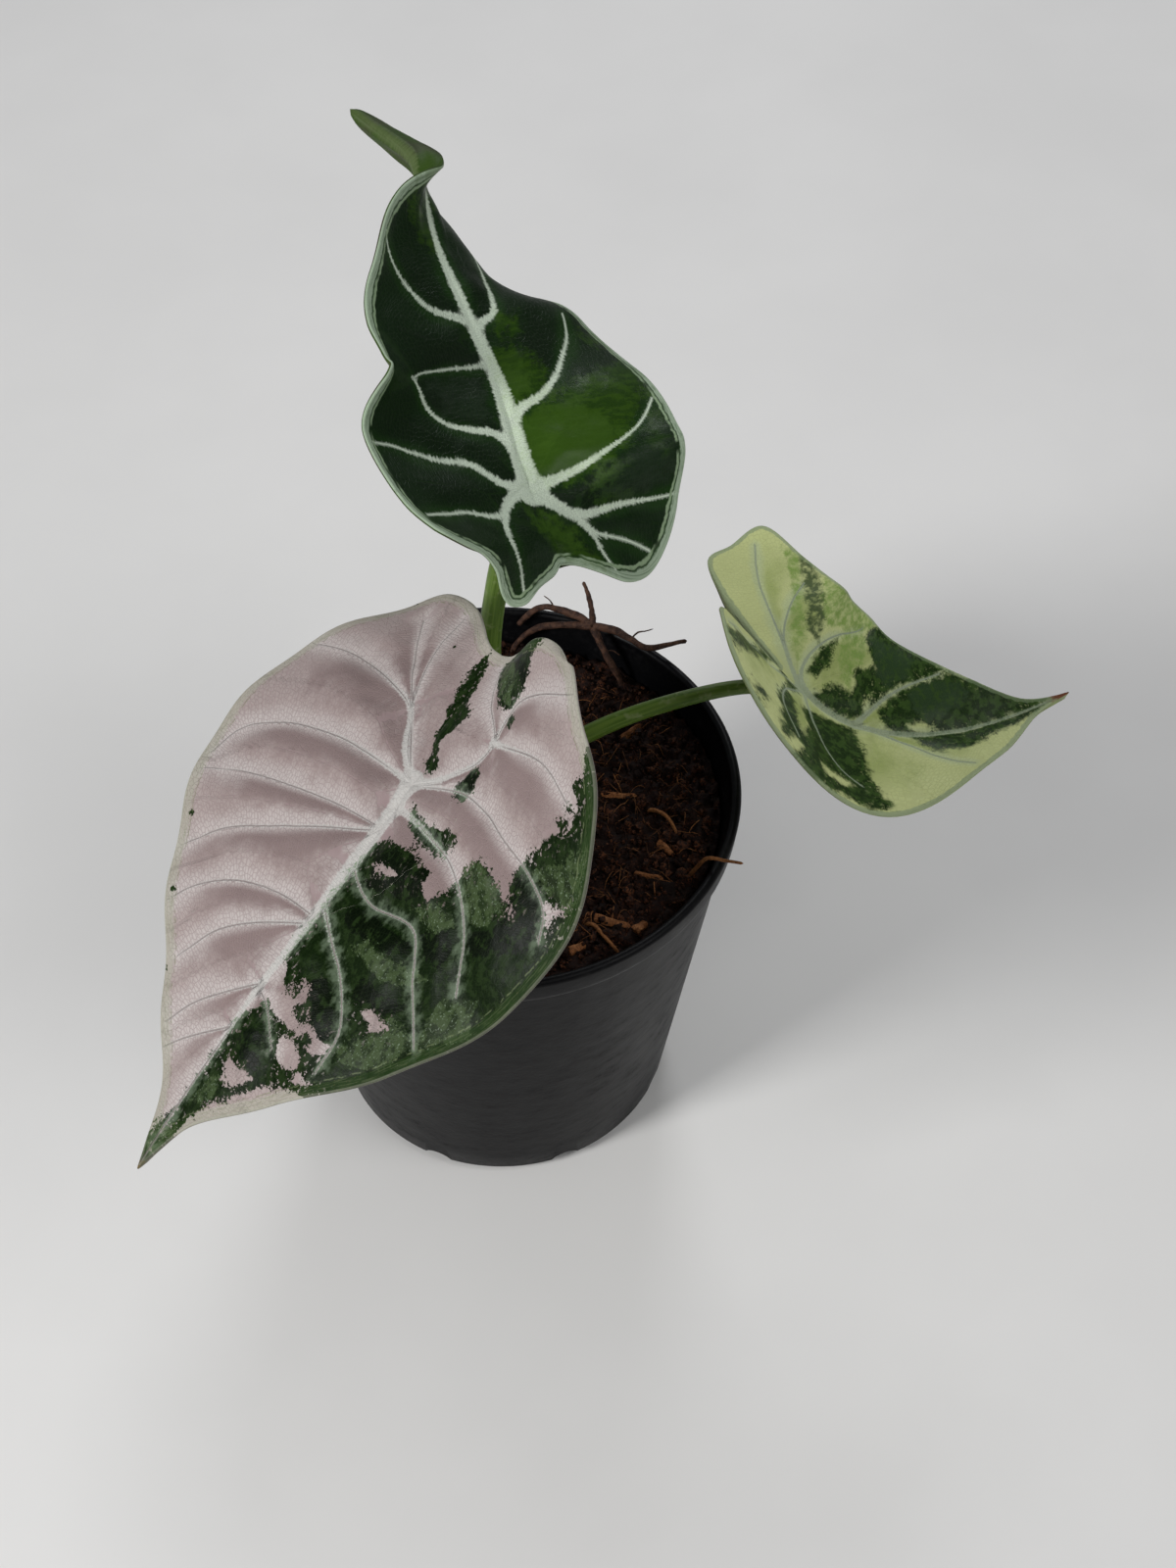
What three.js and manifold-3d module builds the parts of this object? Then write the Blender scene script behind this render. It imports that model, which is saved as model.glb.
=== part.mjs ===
// A young alocasia watsoniana with three blades, standing in a round nursery pot.
// Millimetres, +Z up. The origin is on the pot's axis, in the plane of its base.
// The blades are named by where they stand: front, back and right.

import * as THREE from 'three';
import * as BufferGeometryUtils from 'three/addons/utils/BufferGeometryUtils.js';
import Module from 'manifold-3d';

const wasm = await Module();
wasm.setup();

// Pot sizes
const potHeight = 90;
const rimRadius = 50;
const rimDepth = 6;
const baseRadius = 36;
const wallThickness = 1.4;
const floorThickness = 2;
const roundSteps = 48;
const drainHoles = 8;
const drainRadius = 3.6;
const drainLength = 12;

// Soil sizes
const soilLevel = 84.4;
const soilEdgeHeight = 82;
const soilFootDepth = 6;
const soilRings = 11;
const clearance = 0.3;
const wallClearance = 0.45;
const chipLift = 0.15;

// Blade sizes shared by all three. The midrib keeps midribFade less of its depth at the tip
// and rimShare of it at the rim; the quilting rises within quiltReach of a vein.
const bladeThickness = 0.85;
const edgeThickness = 0.7;
const midribDepth = 1.5;
const midribFade = 0.75;
const rimShare = 0.2;
const veinDepth = 0.6;
const midribHalfWidth = 1.7;
const veinHalfWidth = 1.3;
const quiltReach = 4.5;

// Half outlines, tip to sinus: across as a share of the half width, along as a share of
// the length ahead of the stalk or of the lobe behind it
const broadHeart = [
  [0, 1], [0.02, 0.95], [0.09, 0.86], [0.34, 0.68], [0.67, 0.46], [0.92, 0.22], [1, 0.02],
  [0.965, -0.35], [0.82, -0.7], [0.6, -0.95], [0.42, -1], [0.22, -0.92], [0.08, -0.84], [0, -0.8],
];
const longTipped = [
  [0, 1], [0.05, 0.97], [0.12, 0.87], [0.18, 0.74], [0.46, 0.58], [0.78, 0.4], [0.96, 0.2],
  [1, 0.02], [0.965, -0.35], [0.84, -0.7], [0.64, -0.95], [0.45, -1], [0.24, -0.92],
  [0.08, -0.82], [0, -0.8],
];
const longTippedNarrowLobe = [
  [0, 1], [0.05, 0.97], [0.12, 0.87], [0.18, 0.74], [0.46, 0.58], [0.78, 0.4], [0.96, 0.2],
  [1, 0.02], [0.93, -0.25], [0.72, -0.5], [0.5, -0.72], [0.37, -0.98], [0.28, -1], [0.16, -0.88],
  [0.06, -0.8], [0, -0.8],
];
const deepLobe = [
  [0, 1], [0.02, 0.95], [0.09, 0.85], [0.36, 0.68], [0.68, 0.46], [0.92, 0.22], [1, 0.02],
  [0.965, -0.35], [0.86, -0.7], [0.72, -1.02], [0.4, -1], [0.16, -0.98], [0.06, -0.76], [0, -0.3],
];
const deepLobeRound = [
  [0, 1], [0.02, 0.95], [0.09, 0.85], [0.36, 0.68], [0.68, 0.46], [0.92, 0.22], [1, 0.02],
  [0.965, -0.35], [0.82, -0.7], [0.6, -0.95], [0.38, -1], [0.18, -0.9], [0.07, -0.6], [0, -0.3],
];

// Each blade: seat is the top of its stalk. Across is + to the right of someone looking
// from stalk to tip. A station bends the blade where it crosses the midrib:
// [along, heading, pitch, roll, left rise, left curl, right rise, right curl], in degrees.
// Veins are [across, along] points on the flat blade.
const frontBlade = {
  name: 'blade_front',
  seat: [-11, -51, 152],
  length: 84, leftWidth: 46, rightWidth: 44.5, leftLobe: 33, rightLobe: 32.5, sinus: 27,
  leftShape: broadHeart, rightShape: broadHeart,
  spokes: 60, rings: 10, quilting: 1.5, wave: 0.6, waves: 15,
  stations: [
    [-37, -130, -32, -28, 28, -26, -4, -5],
    [0, -132, -30, -8, 13, -18, -4, -2],
    [30, -137, -33, 0, 4, -8, 0, 0],
    [60, -140, -43, -3, 0, 0, 8, 0],
    [92, -132, -39, -10, 8, 5, 4, 0],
  ],
  veins: [
    [[0, 0], [11, 0], [21, 1], [33, 5], [39, 11], [39, 18]],
    [[0, 9], [11, 11], [20, 13], [30, 17], [37, 21]],
    [[0, 10], [10, 15], [19, 22], [25, 27], [30, 34]],
    [[0, 27], [8, 29], [16, 33], [22, 39], [25, 43]],
    [[0, 30], [8, 35], [13, 42], [17, 49]],
    [[0, 42], [5, 48], [9, 54], [11, 60]],
    [[0, 0], [6, -5], [11, -10], [18, -12], [31, -13], [42, -10]],
    [[11, -10], [14, -17], [16, -23], [16, -28]],
    [[11, -10], [20, -19], [25, -25]],
    [[0, 0], [-14, -4], [-27, -1], [-33, 0], [-39, 4]],
    [[0, 5], [-4, 4], [-18, 7], [-27, 14], [-32, 23]],
    [[0, 17], [-8, 20], [-18, 19], [-25, 26], [-31, 32]],
    [[0, 25], [-5, 28], [-12, 32], [-18, 38], [-20, 46]],
    [[0, 43], [-4, 45], [-10, 49]],
    [[0, 0], [-7, -4], [-14, -13], [-8, -19], [-4, -25]],
    [[-14, -13], [-17, -22], [-32, -27]],
    [[-14, -13], [-29, -15], [-36, -12]],
  ],
};
const backBlade = {
  name: 'blade_back',
  seat: [8.5, 5, 167.5],
  length: 88, leftWidth: 32, rightWidth: 31.3, leftLobe: 21, rightLobe: 19, sinus: 15,
  leftShape: longTippedNarrowLobe, rightShape: longTipped,
  spokes: 60, rings: 10, quilting: 0.7, wave: 0.5, waves: 11,
  stations: [
    [-24, 107, 9, -20, -35, 0, -16, -5],
    [-10, 118, 28, -20, 14, 18, 6, 5],
    [0, 112, 32, -12, 14, 20, 10, 0],
    [10, 105, 20, -7, 9, 35, 3, -10],
    [21, 111, 22, 0, 13, 75, -7, -20],
    [30, 118, 31, -1, 16, 47, -13, -24],
    [44, 115, 20, -16, 4, 35, -13, -39],
    [58, 101, 16, -40, 13, 37, -6, -45],
    [66, 100, 16, -93, 35, 35, 13, 10],
    [74, 138, 8, -136, 50, 35, 50, 30],
    [88, 146, 20, -160, 50, 35, 50, 30],
  ],
  veins: [
    [[0, 0], [10, 0], [18, 3], [24, 11], [26, 14]],
    [[0, 12], [8, 18], [14, 24], [22, 31]],
    [[0, 32], [6, 35], [8, 40], [12, 52]],
    [[0, 0], [7, -7], [17, -8], [26, -9]],
    [[7, -7], [14, -13]],
    [[7, -7], [10, -16]],
    [[0, 9], [-8, 11], [-13, 15], [-16, 18], [-18, 23]],
    [[0, 25], [-10, 25], [-17, 24]],
    [[0, 34], [-7, 39], [-11, 43], [-13, 48]],
    [[0, 0], [-12, 5], [-20, 7], [-28, 8]],
    [[0, 0], [-8, -3], [-10, -8], [-10, -14]],
    [[-8, -3], [-17, -2], [-26, -2]],
  ],
};
const rightBlade = {
  name: 'blade_right',
  seat: [61.3, 8, 109.5],
  length: 60, leftWidth: 28.5, rightWidth: 28.5, leftLobe: 34.5, rightLobe: 20.5, sinus: 6.5,
  leftShape: deepLobe, rightShape: deepLobeRound,
  spokes: 48, rings: 8, quilting: 0.6, wave: 0.4, waves: 9,
  stations: [
    [-38, -53, -18, 32, 20, 16, 52, 5],
    [-16, -48, -18, 18, 9, 0, 40, -12],
    [0, -28, -36, 8, 10, -15, 25, -5],
    [20, 1, -12, -3, 17, -16, 13, -5],
    [40, 17, 2, -2, 27, -10, 23, -3],
    [60, 27, 11, -3, 34, -5, 24, -3],
  ],
  veins: [
    [[0, 0], [-4, -3], [-10, -4], [-16, -2], [-22, 5]],
    [[0, 13], [-5, 16], [-10, 24], [-12, 32]],
    [[0, 0], [-5, -13], [-7, -20], [-14, -27]],
    [[0, 0], [-6, -12], [-12, -16], [-19, -19]],
    [[0, 0], [6, 1], [11, 5], [16, 9], [18, 12]],
    [[0, 14], [8, 20], [14, 28], [15, 34]],
    [[0, 0], [4, -8], [8, -14], [11, -20]],
  ],
};

// Leaf stalks, from inside the soil up to the blade's underside
const frontStalk = {
  name: 'petiole_front',
  path: [[-3, 2, 64], [-3, 1.5, 82], [-3.5, -5, 100], [-5.5, -22, 123], [-9, -41, 143], [-11.2, -51.2, 153]],
  base: 3, top: 2.3,
};
const backStalk = {
  name: 'petiole_back',
  path: [[0.5, 8.5, 64], [0.5, 8, 82], [0.5, 4.5, 106], [0.3, 1.4, 130], [1.7, 1.6, 143],
    [3.7, 2.6, 154], [8.4, 5, 167.8]],
  base: 2.8, top: 2,
};
const rightStalk = {
  name: 'petiole_right',
  path: [[7, 3, 64], [7, 3, 80], [11, 3.2, 94], [21.3, 3.9, 103], [36.5, 6.8, 108], [50.6, 10, 108.6],
    [61.3, 8.1, 109.6]],
  base: 2.4, top: 1.4,
};

// Geometry to solid and back
function solidOf(geometry) {
  const bare = new THREE.BufferGeometry();
  bare.setAttribute('position', geometry.getAttribute('position').clone());
  if (geometry.index) bare.setIndex(geometry.index.clone());
  const merged = BufferGeometryUtils.mergeVertices(bare, 1e-4);
  const corners = merged.index.array;
  const kept = [];
  for (let i = 0; i < corners.length; i += 3) {
    const [a, b, c] = [corners[i], corners[i + 1], corners[i + 2]];
    if (a !== b && b !== c && c !== a) kept.push(a, b, c);
  }
  return new wasm.Manifold(new wasm.Mesh({
    numProp: 3,
    vertProperties: new Float32Array(merged.getAttribute('position').array),
    triVerts: new Uint32Array(kept),
  }));
}

function geometryOf(solid) {
  const mesh = solid.getMesh();
  const geometry = new THREE.BufferGeometry();
  geometry.setAttribute('position', new THREE.BufferAttribute(new Float32Array(mesh.vertProperties), 3));
  geometry.setIndex(new THREE.BufferAttribute(new Uint32Array(mesh.triVerts), 1));
  geometry.computeVertexNormals();
  return geometry;
}

// The biggest body of a solid, without the scraps a cut may leave
function mainBody(solid) {
  const bodies = solid.decompose();
  return bodies.reduce((best, body) => (body.volume() > best.volume() ? body : best));
}

// Monotone cubic through (xs, ys): never overshoots between two stations
function smoothValue(xs, ys, x) {
  const last = xs.length - 1;
  if (x <= xs[0]) return ys[0];
  if (x >= xs[last]) return ys[last];
  let k = 0;
  while (x > xs[k + 1]) k += 1;
  const step = (i) => xs[i + 1] - xs[i];
  const rise = (i) => (ys[i + 1] - ys[i]) / step(i);
  const slope = (i) => {
    if (i === 0) return rise(0);
    if (i === last) return rise(last - 1);
    const [before, after] = [rise(i - 1), rise(i)];
    if (before * after <= 0) return 0;
    const [w1, w2] = [2 * step(i) + step(i - 1), step(i) + 2 * step(i - 1)];
    return (w1 + w2) / (w1 / before + w2 / after);
  };
  const h = step(k);
  const t = (x - xs[k]) / h;
  const [t2, t3] = [t * t, t * t * t];
  return (2 * t3 - 3 * t2 + 1) * ys[k] + (t3 - 2 * t2 + t) * h * slope(k)
    + (3 * t2 - 2 * t3) * ys[k + 1] + (t3 - t2) * h * slope(k + 1);
}

// Control points of one half outline in millimetres, tip to sinus
function halfOutline(blade, side) {
  const width = side > 0 ? blade.rightWidth : blade.leftWidth;
  const lobe = side > 0 ? blade.rightLobe : blade.leftLobe;
  const shape = side > 0 ? blade.rightShape : blade.leftShape;
  const points = shape.map(([u, v]) => new THREE.Vector3(u * width, v > 0 ? v * blade.length : v * lobe, 0));
  points[points.length - 1].set(0, -blade.sinus, 0);
  return points;
}

// Half width of the outline at a place along the midrib
function halfWidth(points, along) {
  let low = 0;
  points.forEach((point, i) => {
    if (point.y < points[low].y) low = i;
  });
  if (along >= points[0].y) return Math.max(points[0].x, 3);
  if (along <= points[low].y) return Math.max(points[low].x, 3);
  let i = 0;
  while (points[i + 1].y > along) i += 1;
  const share = (points[i].y - along) / (points[i].y - points[i + 1].y);
  return Math.max(points[i].x + share * (points[i + 1].x - points[i].x), 3);
}

// Directions across, along and up at a heading, pitch and roll
function frameAt(heading, pitch, roll) {
  const [h, p, r] = [heading, pitch, roll].map(THREE.MathUtils.degToRad);
  const ahead = new THREE.Vector3(Math.cos(p) * Math.cos(h), Math.cos(p) * Math.sin(h), Math.sin(p));
  const level = new THREE.Vector3(Math.sin(h), -Math.cos(h), 0);
  const lift = new THREE.Vector3().crossVectors(level, ahead);
  const across = level.clone().multiplyScalar(Math.cos(r)).addScaledVector(lift, Math.sin(r));
  const up = level.clone().multiplyScalar(-Math.sin(r)).addScaledVector(lift, Math.cos(r));
  return { ahead, across, up };
}

// The bent blade: a place on the flat blade to its place in space. The midrib follows the
// stations at its true length; across it the blade leaves at the rise and turns by the curl.
function bender(blade) {
  const column = (i) => blade.stations.map((station) => station[i]);
  const places = column(0);
  const angle = (i, along) => smoothValue(places, column(i), along);
  const outlines = { right: halfOutline(blade, 1), left: halfOutline(blade, -1) };
  const steps = 240;
  const start = places[0];
  const stride = (places[places.length - 1] - start) / steps;
  const spine = [new THREE.Vector3()];
  const aheadAt = (along) => frameAt(angle(1, along), angle(2, along), 0).ahead;
  for (let i = 0; i < steps; i += 1) {
    const ahead = aheadAt(start + i * stride).add(aheadAt(start + (i + 1) * stride));
    spine.push(spine[i].clone().addScaledVector(ahead, stride / 2));
  }
  const onSpine = (along) => {
    const place = THREE.MathUtils.clamp((along - start) / stride, 0, steps - 1e-9);
    const i = Math.floor(place);
    return spine[i].clone().lerp(spine[i + 1], place - i);
  };
  const shift = new THREE.Vector3(...blade.seat).sub(onSpine(0));
  return (x, y, side) => {
    const frame = frameAt(angle(1, y), angle(2, y), angle(3, y));
    const rise = angle(side > 0 ? 6 : 4, y);
    const curl = angle(side > 0 ? 7 : 5, y);
    const width = halfWidth(side > 0 ? outlines.right : outlines.left, y);
    let [out, lift] = [0, 0];
    for (let k = 0; k < 16; k += 1) {
      const reach = (Math.abs(x) * (k + 0.5)) / 16;
      const turn = THREE.MathUtils.degToRad(rise + curl * (reach / width) ** 2);
      out += (Math.cos(turn) * Math.abs(x)) / 16;
      lift += (Math.sin(turn) * Math.abs(x)) / 16;
    }
    return onSpine(y).add(shift).addScaledVector(frame.across, side * out).addScaledVector(frame.up, lift);
  };
}

function segmentDistance(x, y, [ax, ay], [bx, by]) {
  const [dx, dy] = [bx - ax, by - ay];
  const t = THREE.MathUtils.clamp(((x - ax) * dx + (y - ay) * dy) / (dx * dx + dy * dy), 0, 1);
  return Math.hypot(x - ax - t * dx, y - ay - t * dy);
}

function veinDistance(blade, x, y) {
  let nearest = Infinity;
  for (const vein of blade.veins) {
    for (let i = 0; i + 1 < vein.length; i += 1) {
      nearest = Math.min(nearest, segmentDistance(x, y, vein[i], vein[i + 1]));
    }
  }
  return nearest;
}

// A closed blade: spokes from the stalk to the outline, rings between, one face above and
// one below with the same triangles, and a rim of quads. The midrib and the main veins are
// ridges under the blade, and the blade is quilted between them.
function bladeGeometry(blade, extra = 0) {
  const bend = bender(blade);
  const half = blade.spokes / 2;
  const spaced = (side) => new THREE.CatmullRomCurve3(halfOutline(blade, side), false, 'centripetal')
    .getSpacedPoints(half);
  const right = spaced(1);
  const left = spaced(-1);
  const outline = [];
  for (let i = 0; i < half; i += 1) outline.push([right[i].x, right[i].y, i === 0 ? 0 : 1]);
  for (let i = half; i > 0; i -= 1) outline.push([-left[i].x, left[i].y, i === half ? 0 : -1]);

  const step = 0.4;
  const normalOn = (x, y, side) => {
    const here = bend(x, y, side);
    const beside = bend(x + side * step, y, side).sub(here).multiplyScalar(side);
    const ahead = bend(x, y + step, side).sub(bend(x, y - step, side));
    return beside.cross(ahead).normalize();
  };
  const top = [];
  const bottom = [];
  const place = (x, y, side, share, turn) => {
    const normal = side === 0
      ? normalOn(0, y, 1).add(normalOn(0, y, -1)).normalize()
      : normalOn(x, y, side);
    const fade = (1 - midribFade * Math.max(y / blade.length, 0)) * (share === 1 ? rimShare : 1);
    const rib = midribDepth * Math.exp(-((x / midribHalfWidth) ** 2)) * fade;
    const near = Math.min(veinDistance(blade, x, y), Math.abs(x));
    const vein = veinDepth * Math.exp(-((near / veinHalfWidth) ** 2)) * (1 - share ** 3);
    const quilt = blade.quilting * (1 - Math.exp(-((near / quiltReach) ** 2))) * (1 - share ** 4);
    const wave = side === 0 ? 0 : blade.wave * Math.sin(turn * blade.waves * Math.PI * 2) * share ** 6;
    const middle = bend(x, y, side === 0 ? 1 : side).addScaledVector(normal, quilt + wave);
    const body = THREE.MathUtils.lerp(bladeThickness, edgeThickness, share ** 3);
    top.push(middle.clone().addScaledVector(normal, extra));
    bottom.push(middle.addScaledVector(normal, -(body + rib + vein + extra)));
  };
  place(0, 0, 0, 0, 0);
  for (let ring = 1; ring <= blade.rings; ring += 1) {
    const share = ring / blade.rings;
    outline.forEach(([x, y, side], i) => place(x * share, y * share, side, share, i / blade.spokes));
  }
  const faces = [];
  const count = top.length;
  const at = (ring, spoke) => 1 + (ring - 1) * blade.spokes + (spoke % blade.spokes);
  const pair = (a, b, c) => faces.push(a, c, b, a + count, b + count, c + count);
  for (let spoke = 0; spoke < blade.spokes; spoke += 1) {
    pair(0, at(1, spoke), at(1, spoke + 1));
    for (let ring = 1; ring < blade.rings; ring += 1) {
      const [a, b] = [at(ring, spoke), at(ring, spoke + 1)];
      const [c, d] = [at(ring + 1, spoke), at(ring + 1, spoke + 1)];
      if (spoke < half) {
        pair(a, c, d);
        pair(a, d, b);
      } else {
        pair(a, c, b);
        pair(b, c, d);
      }
    }
    const [p, q] = [at(blade.rings, spoke), at(blade.rings, spoke + 1)];
    faces.push(p, q, q + count, p, q + count, p + count);
  }
  const geometry = new THREE.BufferGeometry();
  const numbers = [...top, ...bottom].flatMap((point) => [point.x, point.y, point.z]);
  geometry.setAttribute('position', new THREE.Float32BufferAttribute(numbers, 3));
  geometry.setIndex(faces);
  return geometry;
}

// A round stalk along a smooth path, closed at both ends, that narrows from base to top
function taperedTube(path, base, top, steps, sides, ease = 1) {
  const points = path.map(([x, y, z]) => new THREE.Vector3(x, y, z));
  const curve = new THREE.CatmullRomCurve3(points, false, 'centripetal');
  const frames = curve.computeFrenetFrames(steps, false);
  const numbers = [];
  const faces = [];
  for (let i = 0; i <= steps; i += 1) {
    const centre = curve.getPointAt(i / steps);
    const radius = THREE.MathUtils.lerp(base, top, (i / steps) ** ease);
    for (let k = 0; k < sides; k += 1) {
      const turn = (k / sides) * Math.PI * 2;
      const point = centre.clone()
        .addScaledVector(frames.normals[i], Math.cos(turn) * radius)
        .addScaledVector(frames.binormals[i], Math.sin(turn) * radius);
      numbers.push(point.x, point.y, point.z);
    }
  }
  for (let i = 0; i < steps; i += 1) {
    for (let k = 0; k < sides; k += 1) {
      const [a, b] = [i * sides + k, i * sides + ((k + 1) % sides)];
      faces.push(a, b, b + sides, a, b + sides, a + sides);
    }
  }
  const end = steps * sides;
  for (let k = 1; k + 1 < sides; k += 1) {
    faces.push(0, k + 1, k, end, end + k, end + k + 1);
  }
  const geometry = new THREE.BufferGeometry();
  geometry.setAttribute('position', new THREE.Float32BufferAttribute(numbers, 3));
  geometry.setIndex(faces);
  return geometry;
}

// Outer radius of the pot's wall at a height below its rolled lip
const lipFoot = potHeight - rimDepth;
const lipWidth = 1.9;
function wallRadius(height) {
  return baseRadius + ((rimRadius - lipWidth - baseRadius) * height) / lipFoot;
}

// The pot: a turned shell with a rolled lip, and slanted drain holes through its lower corner
function potSolid() {
  const inner = (height) => wallRadius(height) - wallThickness;
  const profile = [
    [0, 0], [baseRadius - 2.6, 0], [baseRadius - 0.9, 0.7], [wallRadius(2.6), 2.6],
    [wallRadius(lipFoot - 1), lipFoot - 1], [rimRadius - 0.9, lipFoot],
    [rimRadius - 0.35, lipFoot + 1.4], [rimRadius, potHeight - 1.6], [rimRadius - 0.25, potHeight - 0.6],
    [rimRadius - 0.9, potHeight], [rimRadius - 1.7, potHeight - 0.3],
    [rimRadius - 2.1, potHeight - 1.2], [inner(lipFoot) + 0.1, lipFoot + 1],
    [inner(3.6), 3.6], [inner(2) - 1.2, floorThickness], [0, floorThickness],
  ].map(([r, z]) => new THREE.Vector2(r, z));
  const shell = new THREE.LatheGeometry(profile, roundSteps).rotateX(Math.PI / 2);
  let solid = solidOf(shell);
  for (let i = 0; i < drainHoles; i += 1) {
    const turn = ((i + 0.5) / drainHoles) * Math.PI * 2;
    // each drill leans outwards, then turns to its place round the base
    const drill = new THREE.CylinderGeometry(drainRadius, drainRadius, drainLength, 12)
      .rotateX(Math.PI / 2)
      .rotateY(0.75 * Math.PI)
      .translate(baseRadius - 2.2, 0, 2.2)
      .rotateZ(turn);
    solid = solid.subtract(solidOf(drill));
  }
  return solid;
}

// Height of the soil: a low mound at the stalks, higher at the front, lower at the right
function soilHeight(x, y) {
  const slope = -0.034 * y - 0.03 * x;
  const mound = 1.6 * Math.exp(-(x * x + (y - 3) ** 2) / 260);
  const crumbs = 0.45 * Math.sin(0.9 * x + 1.3) * Math.sin(0.8 * y + 0.4)
    + 0.35 * Math.sin(1.7 * x - 1.1 * y) + 0.3 * Math.sin(0.6 * x + 1.9 * y + 2);
  return soilLevel + slope + mound + crumbs;
}

// The soil body: rings of the soil's surface, then the wall down to a flat foot on the floor
function soilSolid() {
  const inner = (height) => wallRadius(height) - wallThickness - wallClearance;
  const numbers = [0, 0, soilHeight(0, 0)];
  const faces = [];
  const levels = [];
  for (let ring = 1; ring <= soilRings; ring += 1) {
    levels.push({ radius: (ring / soilRings) * inner(soilEdgeHeight) });
  }
  const cornerHeight = floorThickness + soilFootDepth;
  levels.push({ radius: inner(cornerHeight), height: cornerHeight });
  levels.push({ radius: inner(floorThickness) - 2.4, height: floorThickness + clearance });
  levels.forEach(({ radius, height }) => {
    for (let k = 0; k < roundSteps; k += 1) {
      const turn = (k / roundSteps) * Math.PI * 2;
      const [x, y] = [radius * Math.sin(turn), -radius * Math.cos(turn)];
      numbers.push(x, y, height ?? soilHeight(x, y));
    }
  });
  const at = (level, k) => 1 + level * roundSteps + (k % roundSteps);
  for (let k = 0; k < roundSteps; k += 1) {
    faces.push(0, at(0, k), at(0, k + 1));
    for (let level = 0; level + 1 < levels.length; level += 1) {
      const [a, b, c, d] = [at(level, k), at(level, k + 1), at(level + 1, k), at(level + 1, k + 1)];
      faces.push(a, c, d, a, d, b);
    }
  }
  const foot = numbers.length / 3;
  numbers.push(0, 0, floorThickness + clearance);
  const last = levels.length - 1;
  for (let k = 0; k < roundSteps; k += 1) faces.push(foot, at(last, k + 1), at(last, k));
  const geometry = new THREE.BufferGeometry();
  geometry.setAttribute('position', new THREE.Float32BufferAttribute(numbers, 3));
  geometry.setIndex(faces);
  return solidOf(geometry);
}

// Bark chips and fibres that lie half sunk in the soil: two ends, width and height
const chips = [
  { from: [20, -29.5], to: [27.4, -31.6], width: 2, height: 1.6 },
  { from: [28, -18], to: [34, -19.3], width: 1.5, height: 1.4 },
  { from: [15, -38], to: [18.5, -36], width: 2.2, height: 1.8 },
  { from: [28, -33], to: [30.5, -30.5], width: 2.4, height: 1.8 },
  { from: [33, -10], to: [36, -13], width: 1.8, height: 1.6 },
  { from: [21.5, 2.5], to: [29, 2.2], width: 1.4, height: 1.6 },
  { from: [-24, 24], to: [-19, 27], width: 2.4, height: 1.8 },
  { from: [-34, -6], to: [-30, -1], width: 2.2, height: 1.7 },
  { from: [8, 33], to: [13, 36], width: 2.2, height: 1.8 },
  { from: [-12, 38], to: [-6, 37], width: 1.8, height: 1.6 },
  { from: [26, 18], to: [30, 22], width: 2.2, height: 1.7 },
  { from: [-20, -28], to: [-14, -31], width: 2, height: 1.6 },
];
const fibres = [
  [[17.7, -30.2, -1], [20, -31.8, 1], [22.1, -34.7, 1.2], [24, -37, 0.8], [25.5, -38.2, -1]],
  [[30.8, -0.7, -1], [33, -2.6, 1.2], [34.9, -4.6, 1.3], [36.4, -6.6, 0.9], [37.4, -8.4, -1]],
  [[38.6, -18, -2], [40.6, -19, 3.4], [42.6, -20, 7.6], [46, -21.5, 8.8], [49.3, -23, 9.4]],
];

function chipSolid(chip, index) {
  const [dx, dy] = [chip.to[0] - chip.from[0], chip.to[1] - chip.from[1]];
  const [x, y] = [(chip.from[0] + chip.to[0]) / 2, (chip.from[1] + chip.to[1]) / 2];
  const piece = new THREE.CylinderGeometry(chip.width * 0.36, chip.width * 0.58, Math.hypot(dx, dy), 6)
    .scale(1, 1, chip.height / chip.width)
    .rotateZ(-Math.PI / 2)
    .rotateY(-0.06 + 0.03 * (index % 5))
    .rotateZ(Math.atan2(dy, dx))
    .translate(x, y, soilHeight(x, y) + chipLift);
  return solidOf(piece);
}

function fibreSolid(path) {
  const lifted = path.map(([x, y, lift]) => [x, y, soilHeight(x, y) + lift]);
  return solidOf(taperedTube(lifted, 0.65, 0.4, 8, 5));
}

// The dry branching root that lies over the soil at the back and reaches across the rim
const rootBranches = [
  { path: [[4, 46, 88], [7, 46.5, 91.5], [9.5, 46.6, 93], [13.6, 44.9, 93.6], [17.6, 42.8, 93.6],
    [20, 41, 93]], base: 0.6, top: 0.95 },
  { path: [[20, 41, 93], [24.4, 39.5, 93.4], [28, 37.3, 93], [31, 35.4, 92.4], [34.2, 35.8, 92.3],
    [37.2, 36.3, 92.8], [39.8, 36.6, 93.2]], base: 0.95, top: 0.5 },
  { path: [[2, 43.6, 80], [4, 44.4, 84.5], [8, 44.6, 88.4], [13, 43.4, 90.8], [17, 41.8, 92.4],
    [20, 41, 93]], base: 0.6, top: 0.9 },
  { path: [[20, 41, 93], [21.6, 38.4, 90.6], [23.4, 35.9, 88], [25.6, 34.4, 84], [27, 33.8, 78]],
    base: 0.9, top: 0.6 },
  { path: [[20, 41, 93], [19.8, 43.5, 95], [19, 46.3, 97.2], [18, 48.6, 98.6]], base: 0.8, top: 0.4 },
];

function rootSolid(extra = 0) {
  return rootBranches
    .map(({ path, base, top }) => solidOf(taperedTube(path, base + extra, top + extra, 9, 6)))
    .reduce((whole, branch) => whole.add(branch));
}

// A stalk, or with extra its hole in the soil, which is wider and deeper by that much
function stalkSolid(stalk, extra = 0) {
  const [[x, y, z], ...rest] = stalk.path;
  const path = [[x, y, z - extra], ...rest];
  return solidOf(taperedTube(path, stalk.base + extra, stalk.top + extra, 18, 10, 0.7));
}

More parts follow.
